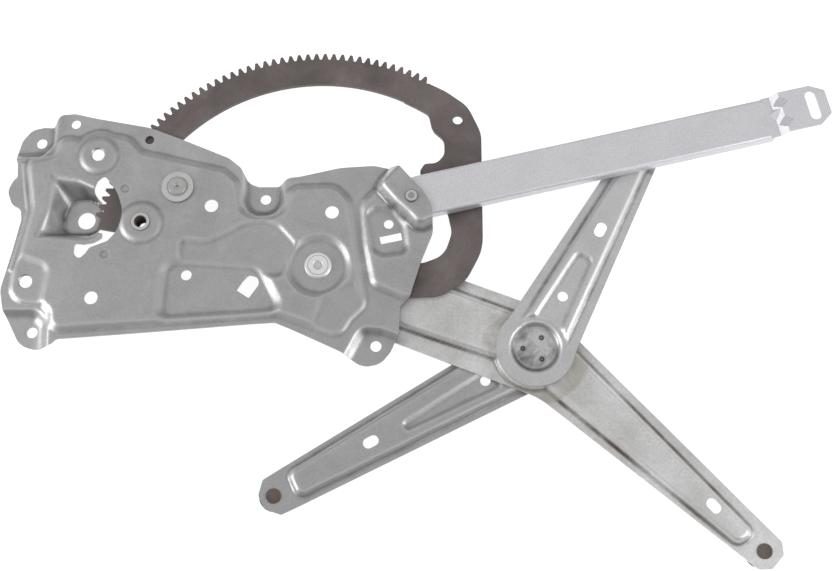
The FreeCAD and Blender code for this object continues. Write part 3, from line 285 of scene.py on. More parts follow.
class RegulatorColours(bpy.types.PropertyGroup):
    """Colours of the finishes."""
    zinc: bpy.props.FloatVectorProperty(
        name="Zinc", description="Plated sheet", subtype="COLOR",
        default=(0.49, 0.49, 0.495), min=0, max=1)
    rail_zinc: bpy.props.FloatVectorProperty(
        name="Rail zinc", description="Plated rail", subtype="COLOR",
        default=(0.74, 0.74, 0.77), min=0, max=1)
    bare_zinc: bpy.props.FloatVectorProperty(
        name="Bare zinc", description="Lighter plating of the main and upper arms", subtype="COLOR",
        default=(0.77, 0.77, 0.775), min=0, max=1)
    phosphate: bpy.props.FloatVectorProperty(
        name="Phosphate", description="Dark coat of the sector", subtype="COLOR",
        default=(0.115, 0.096, 0.093), min=0, max=1)
    steel: bpy.props.FloatVectorProperty(
        name="Steel", description="Rivets and washers", subtype="COLOR",
        default=(0.45, 0.44, 0.42), min=0, max=1)
    plastic: bpy.props.FloatVectorProperty(
        name="Plastic", description="Rollers and buffer", subtype="COLOR",
        default=(0.02, 0.02, 0.021), min=0, max=1)
    floor: bpy.props.FloatVectorProperty(
        name="Floor", description="Studio floor", subtype="COLOR",
        default=(0.45, 0.45, 0.45), min=0, max=1)


def outline_points(corners):
    """Points round a region in order, its corners rounded by the bevel operator."""
    bm = bmesh.new()
    if len(corners) == 1:
        x, y, radius = corners[0]
        bmesh.ops.create_circle(bm, cap_ends=True, radius=radius, segments=CIRCLE_STEPS,
                                matrix=Matrix.Translation((x, y, 0)))
    else:
        verts = [bm.verts.new((x, y, 0)) for x, y, _ in corners]
        bm.faces.new(verts)
        places = [Vector((x, y)) for x, y, _ in corners]
        for i, vert in enumerate(verts):
            here, before, after = places[i], places[i - 1], places[(i + 1) % len(places)]
            turn = abs((here - before).angle_signed(after - here))
            room = 0.47 * min((here - before).length, (after - here).length)
            reach = min(corners[i][2] * math.tan(turn / 2), room)
            if reach > 0.01:
                bmesh.ops.bevel(bm, geom=[vert], offset=reach, offset_type="OFFSET", affect="VERTICES",
                                segments=CORNER_STEPS, profile=0.5, material=-1)
    bm.faces.ensure_lookup_table()
    points = [tuple(v.co.xy) for v in bm.faces[0].verts]
    bm.free()
    return points


def distance(places, points):
    """Distance of each place from a closed outline, negative inside it."""
    start = np.array(points)
    best = np.full(len(places), 1e9)
    inside = np.zeros(len(places), bool)
    for a, b in zip(start, np.roll(start, -1, axis=0)):
        edge = b - a
        share = np.clip(((places - a) @ edge) / (edge @ edge), 0, 1)
        best = np.minimum(best, np.hypot(*(places - a - share[:, None] * edge).T))
        spans = (a[1] > places[:, 1]) != (b[1] > places[:, 1])
        if spans.any():
            inside ^= spans & (places[:, 0] < a[0] + (places[:, 1] - a[1]) * edge[0] / (edge[1] or 1e-9))
    return np.where(inside, -best, best)


def scooped_wall(places, floor, mouth, face, old_face):
    """Height of a pocket's wall at each place, between a floor and a mouth of matching corners."""
    share = np.linspace(-0.15, 1.25, POCKET_STEPS)
    floor, mouth = np.array(floor), np.array(mouth)
    gaps = []
    for s in share:
        corners = floor + (mouth - floor) * s
        corners[:, 2] = np.maximum(corners[:, 2], 0.3)
        gaps.append(distance(places, outline_points([tuple(c) for c in corners])))
    gaps = np.array(gaps)
    inside = gaps < 0
    first = np.argmax(inside, axis=0)
    found = np.where(inside.any(axis=0), share[-1], 9.0)
    crossed = (first > 0) & inside.any(axis=0)
    before, after = gaps[first - 1, np.arange(len(places))], gaps[first, np.arange(len(places))]
    part = before / np.maximum(before - after, 1e-9)
    found = np.where(crossed, share[first - 1] + part * (share[1] - share[0]), found)
    found = np.where(inside[0], share[0] + gaps[0] / 9.0, found)
    return face + (old_face - face) * found


def pressed_heights(places, level, presses, sizes):
    """Height of a pressed sheet's front at each place, with rounded walls."""
    heights = np.full(len(places), level)
    for corners, face, old_face, run, *soft in presses:
        gap = distance(places, outline_points(corners))
        top = soft[0] if soft else min(sizes.top_round, run * 0.6)
        foot = min(sizes.foot_round, abs(face - old_face) * 0.5)
        ramp = (gap + np.sqrt(gap ** 2 + top ** 2)) / 2
        side = 1.0 if face > old_face else -1.0
        wall = face - side * abs(face - old_face) / run * (ramp + 4 * np.maximum(ramp - run, 0))
        heights = (heights + wall + side * np.sqrt((heights - wall) ** 2 + foot ** 2)) / 2
    return heights


def scooped(places, heights, floor, mouth, face, old_face, sizes):
    """Heights with the pocket sunk in them, rounded at its mouth and along its floor."""
    near = (np.abs(places - POCKET_MIDDLE) < POCKET_REACH).all(axis=1)
    wall = scooped_wall(places[near], floor, mouth, face, old_face)
    wall = (wall + face + np.sqrt((wall - face) ** 2 + sizes.foot_round ** 2)) / 2
    here = heights[near]
    heights = heights.copy()
    heights[near] = (here + wall - np.sqrt((here - wall) ** 2 + (2 * sizes.top_round) ** 2)) / 2
    return heights


def object_from(name, bm):
    """Scene object made from a bmesh, which is freed."""
    mesh = bpy.data.meshes.new(name)
    bm.to_mesh(mesh)
    bm.free()
    piece = bpy.data.objects.new(name, mesh)
    bpy.context.scene.collection.objects.link(piece)
    return piece


def prism_object(name, corners, low, high):
    """Closed block over a region, from low to high in millimetres."""
    bm = bmesh.new()
    bm.faces.new([bm.verts.new((x, y, low)) for x, y in outline_points(corners)])
    rim = bmesh.ops.extrude_face_region(bm, geom=bm.faces[:])
    raised = [v for v in rim["geom"] if isinstance(v, bmesh.types.BMVert)]
    bmesh.ops.translate(bm, vec=(0, 0, high - low), verts=raised)
    bmesh.ops.recalc_face_normals(bm, faces=bm.faces)
    return object_from(name, bm)


def cone_object(name, centre, low_radius, high_radius, low, high):
    """Closed cone round a centre, from low to high in millimetres."""
    bm = bmesh.new()
    bmesh.ops.create_cone(bm, cap_ends=True, segments=CIRCLE_STEPS, radius1=low_radius,
                          radius2=high_radius, depth=high - low,
                          matrix=Matrix.Translation((centre[0], centre[1], (low + high) / 2)))
    return object_from(name, bm)


def sleeve_object(name, centre, bore, outer, low, high, pitch):
    """Threaded sleeve round a centre, from low to high in millimetres."""
    turns = int((high - low) / pitch)
    profile = [(outer, high), (outer, low)]
    for i in range(turns):
        profile += [(bore + pitch * 0.35, low + i * pitch), (bore, low + (i + 0.5) * pitch)]
    profile.append((bore + pitch * 0.35, high))
    bm = bmesh.new()
    verts = [bm.verts.new((centre[0] + r, centre[1], z)) for r, z in profile]
    edges = [bm.edges.new((verts[i - 1], vert)) for i, vert in enumerate(verts)]
    bmesh.ops.spin(bm, geom=verts + edges, cent=(*centre, 0), axis=(0, 0, 1), angle=math.tau,
                   steps=CIRCLE_STEPS, use_merge=True)
    bmesh.ops.recalc_face_normals(bm, faces=bm.faces)
    return object_from(name, bm)


def carve(piece, other, operation):
    """Applies one boolean to a piece and removes the other object."""
    cut = piece.modifiers.new(operation.title(), "BOOLEAN")
    cut.operation, cut.object, cut.solver = operation, other, "MANIFOLD"
    view = bpy.context.evaluated_depsgraph_get()
    mesh = bpy.data.meshes.new_from_object(piece.evaluated_get(view))
    piece.modifiers.clear()
    old = piece.data
    piece.data = mesh
    bpy.data.meshes.remove(old)
    drop(other)


def drop(piece):
    """Removes an object and its mesh."""
    mesh = piece.data
    bpy.data.objects.remove(piece)
    bpy.data.meshes.remove(mesh)


def slot_corners(centre, degrees, length, width):
    """Corners of a round-ended slot."""
    half, side = length / 2, width / 2
    return [along(centre, degrees, s, t, side * 0.999)
            for s, t in ((-half, -side), (half, -side), (half, side), (-half, side))]


def stamped_sheet(name, blanks, level, presses, holes, sheet, sizes, pocket=None):
    """Pressed sheet with rounded walls, trimmed to its blank and pierced."""
    points = np.array([p for blank in blanks for p in outline_points(blank)])
    low, high = points.min(axis=0) - 2, points.max(axis=0) + 2
    bm = bmesh.new()
    middle, size = (low + high) / 2, high - low
    place = Matrix.Translation((middle[0], middle[1], 0)) @ Matrix.Diagonal((size[0] / 2, size[1] / 2, 1, 1))
    bmesh.ops.create_grid(bm, x_segments=int(size[0] / sizes.grain), y_segments=int(size[1] / sizes.grain),
                          size=1, matrix=place)
    places = np.array([v.co.xy[:] for v in bm.verts])
    heights = pressed_heights(places, level, presses, sizes)
    if pocket:
        heights = scooped(places, heights, *pocket, sizes)
    for vert, z in zip(bm.verts, heights):
        vert.co.z = z
    columns = int(size[0] / sizes.grain) + 1
    field = heights.reshape(-1, columns)
    front = bmesh.ops.extrude_face_region(bm, geom=bm.faces[:])
    moved = [v for v in front["geom"] if isinstance(v, bmesh.types.BMVert)]
    bmesh.ops.translate(bm, vec=(0, 0, -sheet), verts=moved)
    bmesh.ops.recalc_face_normals(bm, faces=bm.faces)
    piece = object_from(name, bm)
    blank = prism_object("blank", blanks[0], CUT_LOW, CUT_HIGH)
    for more in blanks[1:]:
        carve(blank, prism_object("blank_part", more, CUT_LOW, CUT_HIGH), "UNION")
    carve(piece, blank, "INTERSECT")
    for hole in holes:
        carve(piece, prism_object("punch", hole, CUT_LOW, CUT_HIGH), "DIFFERENCE")
    mark_creases(piece, field, low, high, sheet)
    return piece


def softened(field, rounds):
    """Field averaged with its neighbours a number of times."""
    for _ in range(rounds):
        padded = np.pad(field, 1, mode="edge")
        field = (padded[1:-1, 1:-1] * 2 + padded[:-2, 1:-1] + padded[2:, 1:-1] + padded[1:-1, :-2]
                 + padded[1:-1, 2:]) / 6
    return field


def mark_creases(piece, field, low, high, sheet):
    """Writes on each point how near it is to a wall's foot and to its upper edge."""
    padded = np.pad(field, 1, mode="edge")
    bend = padded[:-2, 1:-1] + padded[2:, 1:-1] + padded[1:-1, :-2] + padded[1:-1, 2:] - 4 * field
    foot, crest = softened(np.maximum(bend, 0), 2), softened(np.maximum(-bend, 0), 1)
    co = np.empty(len(piece.data.vertices) * 3)
    piece.data.vertices.foreach_get("co", co)
    co = co.reshape(-1, 3)
    rows, columns = field.shape
    step = (co[:, :2] - low) / (high - low) * (columns - 1, rows - 1)
    x, y = np.clip(np.rint(step).astype(int), 0, (columns - 1, rows - 1)).T
    back = co[:, 2] < field[y, x] - sheet / 2
    for name, near, far in (("foot", foot, crest), ("crest", crest, foot)):
        layer = piece.data.attributes.new(name, "FLOAT", "POINT")
        strength = np.clip(np.where(back, far[y, x], near[y, x]) * 2.6, 0, 1)
        layer.data.foreach_set("value", strength.astype(np.float32))


def finish_piece(piece, node, body, finish):
    """Scales a piece made in millimetres, sets its edges and hands it to its body."""
    bm = bmesh.new()
    bm.from_mesh(piece.data)
    bmesh.ops.remove_doubles(bm, verts=bm.verts, dist=0.002)
    bmesh.ops.scale(bm, vec=(MM, MM, MM), verts=bm.verts)
    for face in bm.faces:
        face.smooth = True
    for edge in bm.edges:
        edge.smooth = len(edge.link_faces) == 2 and edge.calc_face_angle(0) < SHARP_EDGE
    bm.to_mesh(piece.data)
    bm.free()
    piece.data.materials.clear()
    piece.data.materials.append(finish)
    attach(piece, body)
    if node:
        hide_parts(node)


def node_of(tree, kind, place, **values):
    """New shader node, with its inputs or settings given by name."""
    node = tree.nodes.new(kind)
    node.location = place
    for name, value in values.items():
        if name in node.inputs:
            node.inputs[name].default_value = value
        else:
            setattr(node, name, value)
    return node


def blotch_group():
    """Cloudy stains and fine grain as two factors."""
    group = bpy.data.node_groups.get("plated wear")
    if group:
        return group
    group = bpy.data.node_groups.new("plated wear", "ShaderNodeTree")
    group.interface.new_socket("Size", in_out="INPUT", socket_type="NodeSocketFloat").default_value = 1.0
    for name in ("Clouds", "Grain"):
        group.interface.new_socket(name, in_out="OUTPUT", socket_type="NodeSocketFloat")
    entry = node_of(group, "NodeGroupInput", (-900, 0))
    leave = node_of(group, "NodeGroupOutput", (500, 0))
    where = node_of(group, "ShaderNodeTexCoord", (-900, 200))
    scaled = node_of(group, "ShaderNodeVectorMath", (-700, 100), operation="SCALE")
    group.links.new(where.outputs["Object"], scaled.inputs[0])
    group.links.new(entry.outputs["Size"], scaled.inputs["Scale"])
    clouds = node_of(group, "ShaderNodeTexNoise", (-450, 250), Scale=38.0, Detail=5.0, Roughness=0.62,
                     Distortion=0.4)
    grain = node_of(group, "ShaderNodeTexNoise", (-450, 0), Scale=900.0, Detail=3.0, Roughness=0.6)
    for noise in (clouds, grain):
        group.links.new(scaled.outputs["Vector"], noise.inputs["Vector"])
    ramp = node_of(group, "ShaderNodeMapRange", (-200, 250))
    ramp.inputs["From Min"].default_value = 0.35
    ramp.inputs["From Max"].default_value = 0.68
    group.links.new(clouds.outputs["Fac"], ramp.inputs["Value"])
    group.links.new(ramp.outputs["Result"], leave.inputs["Clouds"])
    group.links.new(grain.outputs["Fac"], leave.inputs["Grain"])
    return group


def coated(name, colour, stain, metallic, roughness, spread, size=1.0, bump=0.0001, stain_share=0.6):
    """Coated metal: a base colour, cloudy stains, grain in gloss and height."""
    finish = bpy.data.materials.new(name)
    finish.use_nodes = True
    tree = finish.node_tree
    tree.nodes.clear()
    out = node_of(tree, "ShaderNodeOutputMaterial", (700, 0))
    surface = node_of(tree, "ShaderNodeBsdfPrincipled", (400, 0), Metallic=metallic)
    tree.links.new(surface.outputs["BSDF"], out.inputs["Surface"])
    wear = node_of(tree, "ShaderNodeGroup", (-500, 0))
    wear.node_tree = blotch_group()
    wear.inputs["Size"].default_value = size
    tint = node_of(tree, "ShaderNodeMix", (-100, 200), data_type="RGBA")
    tint.inputs["A"].default_value = (*colour, 1)
    tint.inputs["B"].default_value = (*stain, 1)
    share = node_of(tree, "ShaderNodeMath", (-300, 200), operation="MULTIPLY")
    share.inputs[1].default_value = stain_share
    tree.links.new(wear.outputs["Clouds"], share.inputs[0])
    tree.links.new(share.outputs[0], tint.inputs["Factor"])
    speck = node_of(tree, "ShaderNodeMix", (50, 350), data_type="RGBA", blend_type="MULTIPLY")
    speck.inputs["Factor"].default_value = 0.35
    shade = node_of(tree, "ShaderNodeMapRange", (-100, 450))
    shade.inputs["From Min"].default_value = 0.3
    shade.inputs["From Max"].default_value = 0.7
    shade.inputs["To Min"].default_value = 0.72
    shade.inputs["To Max"].default_value = 1.28
    shade.clamp = False
    tree.links.new(wear.outputs["Grain"], shade.inputs["Value"])
    tree.links.new(tint.outputs["Result"], speck.inputs["A"])
    tree.links.new(shade.outputs["Result"], speck.inputs["B"])
    tree.links.new(speck.outputs["Result"], surface.inputs["Base Color"])
    gloss = node_of(tree, "ShaderNodeMapRange", (-100, -100))
    gloss.inputs["To Min"].default_value = roughness - spread
    gloss.inputs["To Max"].default_value = roughness + spread
    tree.links.new(wear.outputs["Clouds"], gloss.inputs["Value"])
    tree.links.new(gloss.outputs["Result"], surface.inputs["Roughness"])
    relief = node_of(tree, "ShaderNodeBump", (100, -300), Strength=0.5, Distance=bump)
    tree.links.new(wear.outputs["Grain"], relief.inputs["Height"])
    tree.links.new(relief.outputs["Normal"], surface.inputs["Normal"])
    return finish


def blend_over(finish, factor, colour, place):
    """Lays a colour over a finish's base colour by a factor socket."""
    tree = finish.node_tree
    surface = next(node for node in tree.nodes if node.type == "BSDF_PRINCIPLED")
    below = surface.inputs["Base Color"].links[0].from_socket
    mix = node_of(tree, "ShaderNodeMix", place, data_type="RGBA")
    mix.inputs["B"].default_value = (*colour, 1)
    tree.links.new(below, mix.inputs["A"])
    tree.links.new(factor, mix.inputs["Factor"])
    tree.links.new(mix.outputs["Result"], surface.inputs["Base Color"])


def dirt_shade_and_highlight(finish, dirt_and_shade, dirt_and_shade_share, sharp):
    """Dirt and painted shade along the walls' feet, broken up by the clouds, and painted highlight along
    their upper edges.
    """
    tree = finish.node_tree
    wear = next(node for node in tree.nodes if node.type == "GROUP")
    for name, colour, share, least, place in (("foot", dirt_and_shade, dirt_and_shade_share, sharp, (150, 600)),
                                              ("crest", CREST_HIGHLIGHT, HIGHLIGHT_SHARE, 0.0, (250, 800))):
        mark = node_of(tree, "ShaderNodeAttribute", (-900, place[1]), attribute_name=name)
        narrow = node_of(tree, "ShaderNodeMapRange", (-700, place[1]))
        narrow.inputs["From Min"].default_value = least
        tree.links.new(mark.outputs["Fac"], narrow.inputs["Value"])
        part = node_of(tree, "ShaderNodeMapRange", (-500, place[1]))
        part.inputs["To Min"].default_value = share * 0.35
        part.inputs["To Max"].default_value = share
        tree.links.new(wear.outputs["Clouds"], part.inputs["Value"])
        amount = node_of(tree, "ShaderNodeMath", (-250, place[1]), operation="MULTIPLY")
        tree.links.new(narrow.outputs["Result"], amount.inputs[0])
        tree.links.new(part.outputs["Result"], amount.inputs[1])
        blend_over(finish, amount.outputs[0], colour, place)


def ring_marks(finish, centre, limit, stops, colour, broken=False):
    """Rings of a colour round a centre, in patches if broken.

    The stops give how much of it shows at each radius in millimetres, up to the limit.
    """
    tree = finish.node_tree
    where = node_of(tree, "ShaderNodeTexCoord", (-1100, 900))
    offset = node_of(tree, "ShaderNodeVectorMath", (-900, 900), operation="SUBTRACT")
    offset.inputs[1].default_value = (centre[0] * MM, centre[1] * MM, 0)
    flat = node_of(tree, "ShaderNodeVectorMath", (-700, 900), operation="MULTIPLY")
    flat.inputs[1].default_value = (1, 1, 0)
    radius = node_of(tree, "ShaderNodeVectorMath", (-500, 900), operation="LENGTH")
    scaled = node_of(tree, "ShaderNodeMapRange", (-300, 900))
    scaled.inputs["From Max"].default_value = limit * MM
    ramp = node_of(tree, "ShaderNodeValToRGB", (-100, 900))
    band = ramp.color_ramp
    while len(band.elements) < len(stops):
        band.elements.new(0.5)
    for element, (at, _) in zip(band.elements, stops):
        element.position = at / limit
    for element, (_, share) in zip(band.elements, stops):
        element.color = (share, share, share, 1)
    tree.links.new(where.outputs["Object"], offset.inputs[0])
    tree.links.new(offset.outputs["Vector"], flat.inputs[0])
    tree.links.new(flat.outputs["Vector"], radius.inputs[0])
    tree.links.new(radius.outputs["Value"], scaled.inputs["Value"])
    tree.links.new(scaled.outputs["Result"], ramp.inputs["Fac"])
    factor = ramp.outputs["Color"]
    if broken:
        wear = next(node for node in tree.nodes if node.type == "GROUP")
        patch = node_of(tree, "ShaderNodeMapRange", (-100, 1200))
        patch.inputs["From Min"].default_value = 0.35
        patch.inputs["From Max"].default_value = 0.85
        tree.links.new(wear.outputs["Clouds"], patch.inputs["Value"])
        amount = node_of(tree, "ShaderNodeMath", (150, 900), operation="MULTIPLY")
        tree.links.new(factor, amount.inputs[0])
        tree.links.new(patch.outputs["Result"], amount.inputs[1])
        factor = amount.outputs[0]
    blend_over(finish, factor, colour, (300, 900))


def toned(colour, factor):
    """Colour made lighter or darker."""
    return tuple(min(1, c * factor) for c in colour)


def finishes():
    """All finishes of the part, made once."""
    colours = bpy.context.scene.regulator_colours
    if "zinc on plate" not in bpy.data.materials:
        zinc = tuple(colours.zinc)
        # Colours of the dirt and painted shade along the walls' feet; the stamped sheets below also get a
        # painted highlight along the walls' upper edges
        grey, brown, black = (0.14, 0.125, 0.11), (0.085, 0.06, 0.045), (0.07, 0.065, 0.06)
        plate = coated("zinc on plate", zinc, toned(zinc, 0.8), 0.7, 0.36, 0.08, stain_share=0.9)
        # Painted shade round the dimples' rims
        for x, y in DIMPLES:
            ring_marks(plate, (x, y), 4, DIMPLE_SHADE_RINGS, (0.25, 0.25, 0.25))
        dirt_shade_and_highlight(plate, grey, 0.85, 0.1)
        lower = coated("zinc on lower arm", zinc, toned(zinc, 0.8), 0.7, 0.36, 0.08, stain_share=0.9)
        dirt_shade_and_highlight(lower, grey, 0.75, 0.15)
        bare = tuple(colours.bare_zinc)
        stained = (bare[0] * 0.62, bare[1] * 0.61, bare[2] * 0.58)
        main = coated("zinc on main arm", bare, stained, 0.6, 0.4, 0.06, 0.6, stain_share=0.8)
        dirt_shade_and_highlight(main, brown, 1.0, 0.3)
        ring_marks(main, CROSS, 50, HUB_DARK_DISC, (0.40, 0.375, 0.34), True)
        upper = coated("zinc on upper arm", toned(bare, 0.84), toned(bare, 0.64), 0.7, 0.38, 0.06)
        dirt_shade_and_highlight(upper, black, 1.0, 0.1)
        ring_marks(upper, CROSS, 20, CUP_WEAR, (0.09, 0.075, 0.065), True)
        for x, y, _ in WELDS:
            ring_marks(upper, (x, y), 3, WELD_RINGS, (0.05, 0.045, 0.04))
        rail = tuple(colours.rail_zinc)
        coated("zinc on rail", rail, toned(rail, 0.9), 0.6, 0.42, 0.06)
        dark = tuple(colours.phosphate)
        coated("phosphate on sector", dark, toned(dark, 2.2), 0.2, 0.5, 0.08, 0.7, 0.0002)
        steel = tuple(colours.steel)
        coated("turned steel", steel, toned(steel, 0.55), 0.85, 0.4, 0.1, 3.0)
        head = coated("pivot rivet head", (0.9, 0.9, 0.9), (0.75, 0.75, 0.75), 0.6, 0.4, 0.08, 3.0)
        ring_marks(head, PIVOT, 10, PIVOT_RINGS, (0.16, 0.15, 0.14))
        coated("dark rivet", (0.085, 0.068, 0.06), (0.2, 0.17, 0.15), 0.3, 0.5, 0.1, 3.0)
        bright = (0.62, 0.62, 0.62)
        small = coated("rail rivet head", bright, toned(bright, 0.8), 0.6, 0.4, 0.08, 3.0)
        ring_marks(small, RAIL_RIVET, 5, RIVET_RINGS, (0.12, 0.11, 0.1))
        bush = coated("motor screw bush", bright, toned(bright, 0.8), 0.6, 0.4, 0.08, 3.0)
        # Painted shade in the bush's bore
        ring_marks(bush, COLLARS[2], 8, BUSH_SHADE_RINGS, (0.03, 0.027, 0.025))
        stop = coated("stop rivet and washer", bright, toned(bright, 0.8), 0.5, 0.45, 0.08, 3.0)
        ring_marks(stop, STOP, 12, STOP_RINGS, (0.2, 0.19, 0.17))
        plastic = tuple(colours.plastic)
        coated("black plastic", plastic, toned(plastic, 1.6), 0.0, 0.5, 0.08, 2.0)
        coated("white plastic", (0.72, 0.7, 0.62), (0.6, 0.57, 0.48), 0.0, 0.5, 0.08, 2.0)
    return bpy.data.materials


class REGULATOR_OT_base_plate(bpy.types.Operator):
    """Makes the stamped base plate's smooth sheet"""
    bl_idname = "regulator.base_plate"
    bl_label = "Base plate"

    def execute(self, context):
        sizes = context.scene.regulator_sizes
        piece = stamped_sheet("plate_sheet", [PLATE_OUTLINE], BORDER, PLATE_PRESSES, PLATE_HOLES,
                              sizes.plate_sheet, sizes, (BRACKET_FLOOR, BRACKET_MOUTH, 0.0, PANEL))
        inner, outer, low, high = SECTOR_RING
        ring = prism_object("ring", [PIVOT + (outer,)], low, high)
        carve(ring, prism_object("core", [PIVOT + (inner,)], low - 1, high + 1), "DIFFERENCE")
        carve(piece, ring, "DIFFERENCE")
        carve(piece, prism_object("window_side", WINDOW_SIDE, 3, 40), "DIFFERENCE")
        narrow, wide, half = COLLAR_CONE
        for x, y, top in COLLARS:
            carve(piece, cone_object("collar", (x, y), narrow, wide, top - half, top + half), "DIFFERENCE")
        finish_piece(piece, "base_plate", "base", finishes()["zinc on plate"])
        # Threaded sleeve whose dark finish is partly painted shade in the bore
        sleeve = sleeve_object("motor_screw_thread", COLLARS[2][:2], *THREAD)
        finish_piece(sleeve, None, "base", finishes()["dark rivet"])
        return {"FINISHED"}


class REGULATOR_OT_arms(bpy.types.Operator):
    """Makes the three stamped arms' smooth sheets"""
    bl_idname = "regulator.arms"
    bl_label = "Arms"

    def execute(self, context):
        sizes = context.scene.regulator_sizes
        sheet = sizes.arm_sheet
        slot = slot_corners(MAIN_SLOT, MAIN_DIRECTION - 5.3, SLOT_LENGTH, SLOT_WIDTH)
        main = stamped_sheet("main_arm_sheet", [MAIN_OUTLINE], MAIN_FLANGE, MAIN_PRESSES,
                             MAIN_HOLES + [slot], sheet, sizes)
        finish_piece(main, "main_arm", "lift_arm", finishes()["zinc on main arm"])
        slot = slot_corners(UPPER_SLOT, UPPER_DIRECTION + 1.1, SLOT_LENGTH, SLOT_WIDTH)
        upper = stamped_sheet("upper_arm_sheet", [UPPER_OUTLINE, [CROSS + (UPPER_HUB,)]], UPPER_FLANGE,
                              UPPER_PRESSES, UPPER_HOLES + [slot], sheet, sizes)
        finish_piece(upper, "upper_arm", "equalizer", finishes()["zinc on upper arm"])
        slot = slot_corners(LOWER_SLOT, LOWER_DIRECTION - 1.2, SLOT_LENGTH, SLOT_WIDTH)
        lower = stamped_sheet("lower_arm_sheet", [LOWER_OUTLINE, [CROSS + (LOWER_HUB,)]], LOWER_FLANGE,
                              LOWER_PRESSES, LOWER_HOLES + [slot], sheet, sizes)
        finish_piece(lower, "lower_arm", "equalizer", finishes()["zinc on lower arm"])
        return {"FINISHED"}


class REGULATOR_OT_turned_parts(bpy.types.Operator):
    """Gives the sector, rail, rivets, washers and rollers their finishes"""
    bl_idname = "regulator.turned_parts"
    bl_label = "Sector, rail and small parts"

    def execute(self, context):
        made = finishes()
        wanted = {
            "zinc on rail": ["guide_rail"],
            "phosphate on sector": ["sector_gear"],
            "black plastic": ["stop_buffer", "cross_pivot_bush", "upper_roller", "main_roller",
                              "lower_roller"],
            "white plastic": ["pivot_washer"],
            "pivot rivet head": ["main_pivot_rivet"],
            "stop rivet and washer": ["stop_rivet", "stop_washer"],
            "rail rivet head": ["rail_rivet"],
            "motor screw bush": ["motor_screw_bush"],
            "dark rivet": ["main_roller_stud", "lower_roller_stud", "upper_stud"],
        }
        named = {node: finish for finish, group in wanted.items() for node in group}
        for name, node in NODES.items():
            if node.hide_render:
                continue
            node.data.materials.clear()
            node.data.materials.append(made[named.get(name, "turned steel")])
        return {"FINISHED"}


class REGULATOR_OT_studio(bpy.types.Operator):
    """Sets the floor, lamps and camera"""
    bl_idname = "regulator.studio"
    bl_label = "Studio"

    def execute(self, context):
        scene = context.scene
        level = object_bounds()[0].z - FLOOR_GAP
        bm = bmesh.new()
        bmesh.ops.create_grid(bm, x_segments=1, y_segments=1, size=FLOOR_HALF,
                              matrix=Matrix.Translation((*FLOOR_MIDDLE, level)))
        floor = object_from("floor", bm)
        floor.data.materials.append(floor_finish(tuple(scene.regulator_colours.floor)))
        floor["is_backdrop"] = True
        world = bpy.data.worlds.new("studio")
        world.use_nodes = True
        dome_light(world.node_tree)
        scene.world = world
        for name, place, size, power in LAMPS:
            data = bpy.data.lights.new(name, "AREA")
            data.shape, data.size, data.energy = "DISK", size, power
            lamp = bpy.data.objects.new(name, data)
            scene.collection.objects.link(lamp)
            lamp.location = place
            lamp.rotation_euler = (STUDIO_MIDDLE - Vector(place)).to_track_quat("-Z", "Y").to_euler()
        camera_at_view(scene)
        scene.view_settings.view_transform = "Standard"
        return {"FINISHED"}


def dome_light(tree):
    """Dome with a dim top and a bright ring round it.

    Low down it is bright on the left and on the right, middling at the far end and dark at the near end.
    """
    where = node_of(tree, "ShaderNodeTexCoord", (-1300, 0))
    split = node_of(tree, "ShaderNodeSeparateXYZ", (-1100, 0))
    tree.links.new(where.outputs["Generated"], split.inputs["Vector"])
    either = None
    for i, (axis, share) in enumerate((("X", -1.0), ("X", 0.92), ("Y", 0.6))):
        side = node_of(tree, "ShaderNodeMath", (-1000, -150 - 200 * i), operation="MULTIPLY")
        side.inputs[1].default_value = share
        tree.links.new(split.outputs[axis], side.inputs[0])
        if either is None:
            either = side
            continue
        most = node_of(tree, "ShaderNodeMath", (-820, -150 - 200 * i), operation="MAXIMUM")
        tree.links.new(either.outputs[0], most.inputs[0])
        tree.links.new(side.outputs[0], most.inputs[1])
        either = most
    ranges = {"ring": (split.outputs["Z"], 0.97, 0.86, 0.52, 0.80),
              "low": (either.outputs[0], 0.3, 0.85, 0.12, 0.80),
              "share": (split.outputs["Z"], 0.82, 0.55, 0.0, 1.0)}
    made = {}
    for i, (name, (source, *values)) in enumerate(ranges.items()):
        step = node_of(tree, "ShaderNodeMapRange", (-650, 250 - 250 * i), interpolation_type="SMOOTHSTEP")
        for socket, value in zip(("From Min", "From Max", "To Min", "To Max"), values):
            step.inputs[socket].default_value = value
        tree.links.new(source, step.inputs["Value"])
        made[name] = step.outputs["Result"]
    level = node_of(tree, "ShaderNodeMix", (-350, 0))
    tree.links.new(made["share"], level.inputs["Factor"])
    tree.links.new(made["ring"], level.inputs["A"])
    tree.links.new(made["low"], level.inputs["B"])
    sky = tree.nodes["Background"]
    sky.inputs["Color"].default_value = (1, 1, 1, 1)
    tree.links.new(level.outputs["Result"], sky.inputs["Strength"])


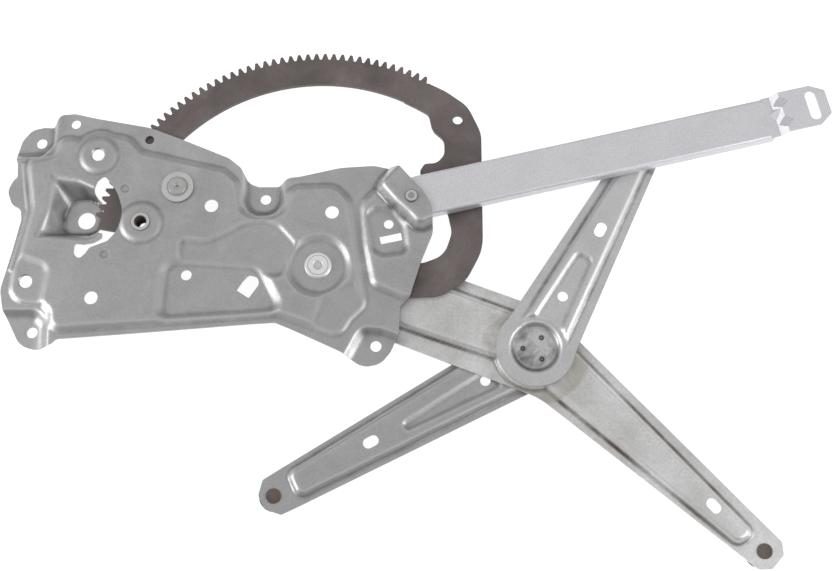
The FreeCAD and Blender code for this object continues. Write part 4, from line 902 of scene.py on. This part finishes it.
def floor_finish(colour):
    """Pale floor that the camera sees nearly white and that keeps the shadow."""
    finish = bpy.data.materials.new("studio floor")
    finish.use_nodes = True
    tree = finish.node_tree
    tree.nodes.clear()
    out = node_of(tree, "ShaderNodeOutputMaterial", (500, 0))
    matt = node_of(tree, "ShaderNodeBsdfDiffuse", (0, 100))
    matt.inputs["Color"].default_value = (*colour, 1)
    glow = node_of(tree, "ShaderNodeEmission", (0, -100))
    both = node_of(tree, "ShaderNodeAddShader", (250, 0))
    path = node_of(tree, "ShaderNodeLightPath", (-600, -100))
    seen = node_of(tree, "ShaderNodeMath", (-400, -100), operation="MAXIMUM")
    through = node_of(tree, "ShaderNodeMath", (-250, -200), operation="MAXIMUM")
    share = node_of(tree, "ShaderNodeMath", (-120, -200), operation="MULTIPLY")
    share.inputs[1].default_value = 0.86
    tree.links.new(path.outputs["Is Camera Ray"], seen.inputs[0])
    tree.links.new(path.outputs["Is Glossy Ray"], seen.inputs[1])
    tree.links.new(seen.outputs[0], through.inputs[0])
    tree.links.new(path.outputs["Is Transmission Ray"], through.inputs[1])
    tree.links.new(through.outputs[0], share.inputs[0])
    tree.links.new(share.outputs[0], glow.inputs["Strength"])
    tree.links.new(matt.outputs["BSDF"], both.inputs[0])
    tree.links.new(glow.outputs["Emission"], both.inputs[1])
    tree.links.new(both.outputs["Shader"], out.inputs["Surface"])
    return finish


def camera_at_view(scene):
    """Camera above the part's lower edge, looking down and slightly up the part."""
    data = bpy.data.cameras.new("view")
    data.sensor_width = SENSOR_WIDTH
    data.lens = FOCAL_LENGTH / PICTURE_WIDTH * SENSOR_WIDTH
    data.clip_start, data.clip_end = 0.05, 20
    level = math.cos(CAMERA_ROLL)
    back = Vector((math.sin(CAMERA_ROLL), math.sin(CAMERA_TILT) * level, -math.cos(CAMERA_TILT) * level))
    right = (Vector((1, 0, 0)) - back * back.x).normalized()
    down = right.cross(back)
    camera = bpy.data.objects.new("view", data)
    scene.collection.objects.link(camera)
    x, y, z = (MM * value for value in CAMERA_PLACE)
    camera.matrix_world = Matrix((
        (right.x, -right.y, -right.z, x),
        (-down.x, down.y, down.z, y),
        (back.x, -back.y, -back.z, z),
        (0, 0, 0, 1)))
    scene.camera = camera


class REGULATOR_PT_panel(bpy.types.Panel):
    """Shows the sizes, the colours and a button for each step"""
    bl_idname = "REGULATOR_PT_panel"
    bl_label = "Window regulator"
    bl_space_type = "VIEW_3D"
    bl_region_type = "UI"
    bl_category = "Regulator"

    def draw(self, context):
        for group in (context.scene.regulator_sizes, context.scene.regulator_colours):
            for name in group.__annotations__:
                self.layout.prop(group, name)
        for operator in OPERATORS:
            self.layout.operator(operator.bl_idname)


OPERATORS = (REGULATOR_OT_base_plate, REGULATOR_OT_arms, REGULATOR_OT_turned_parts, REGULATOR_OT_studio)
CLASSES = (RegulatorSizes, RegulatorColours) + OPERATORS + (REGULATOR_PT_panel,)


def register():
    for kind in CLASSES:
        bpy.utils.register_class(kind)
    bpy.types.Scene.regulator_sizes = bpy.props.PointerProperty(type=RegulatorSizes)
    bpy.types.Scene.regulator_colours = bpy.props.PointerProperty(type=RegulatorColours)


def unregister():
    del bpy.types.Scene.regulator_sizes
    del bpy.types.Scene.regulator_colours
    for kind in reversed(CLASSES):
        bpy.utils.unregister_class(kind)


def main():
    register()
    bpy.ops.regulator.base_plate()
    bpy.ops.regulator.arms()
    bpy.ops.regulator.turned_parts()
    bpy.ops.regulator.studio()
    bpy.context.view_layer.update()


if __name__ == "__main__":
    main()
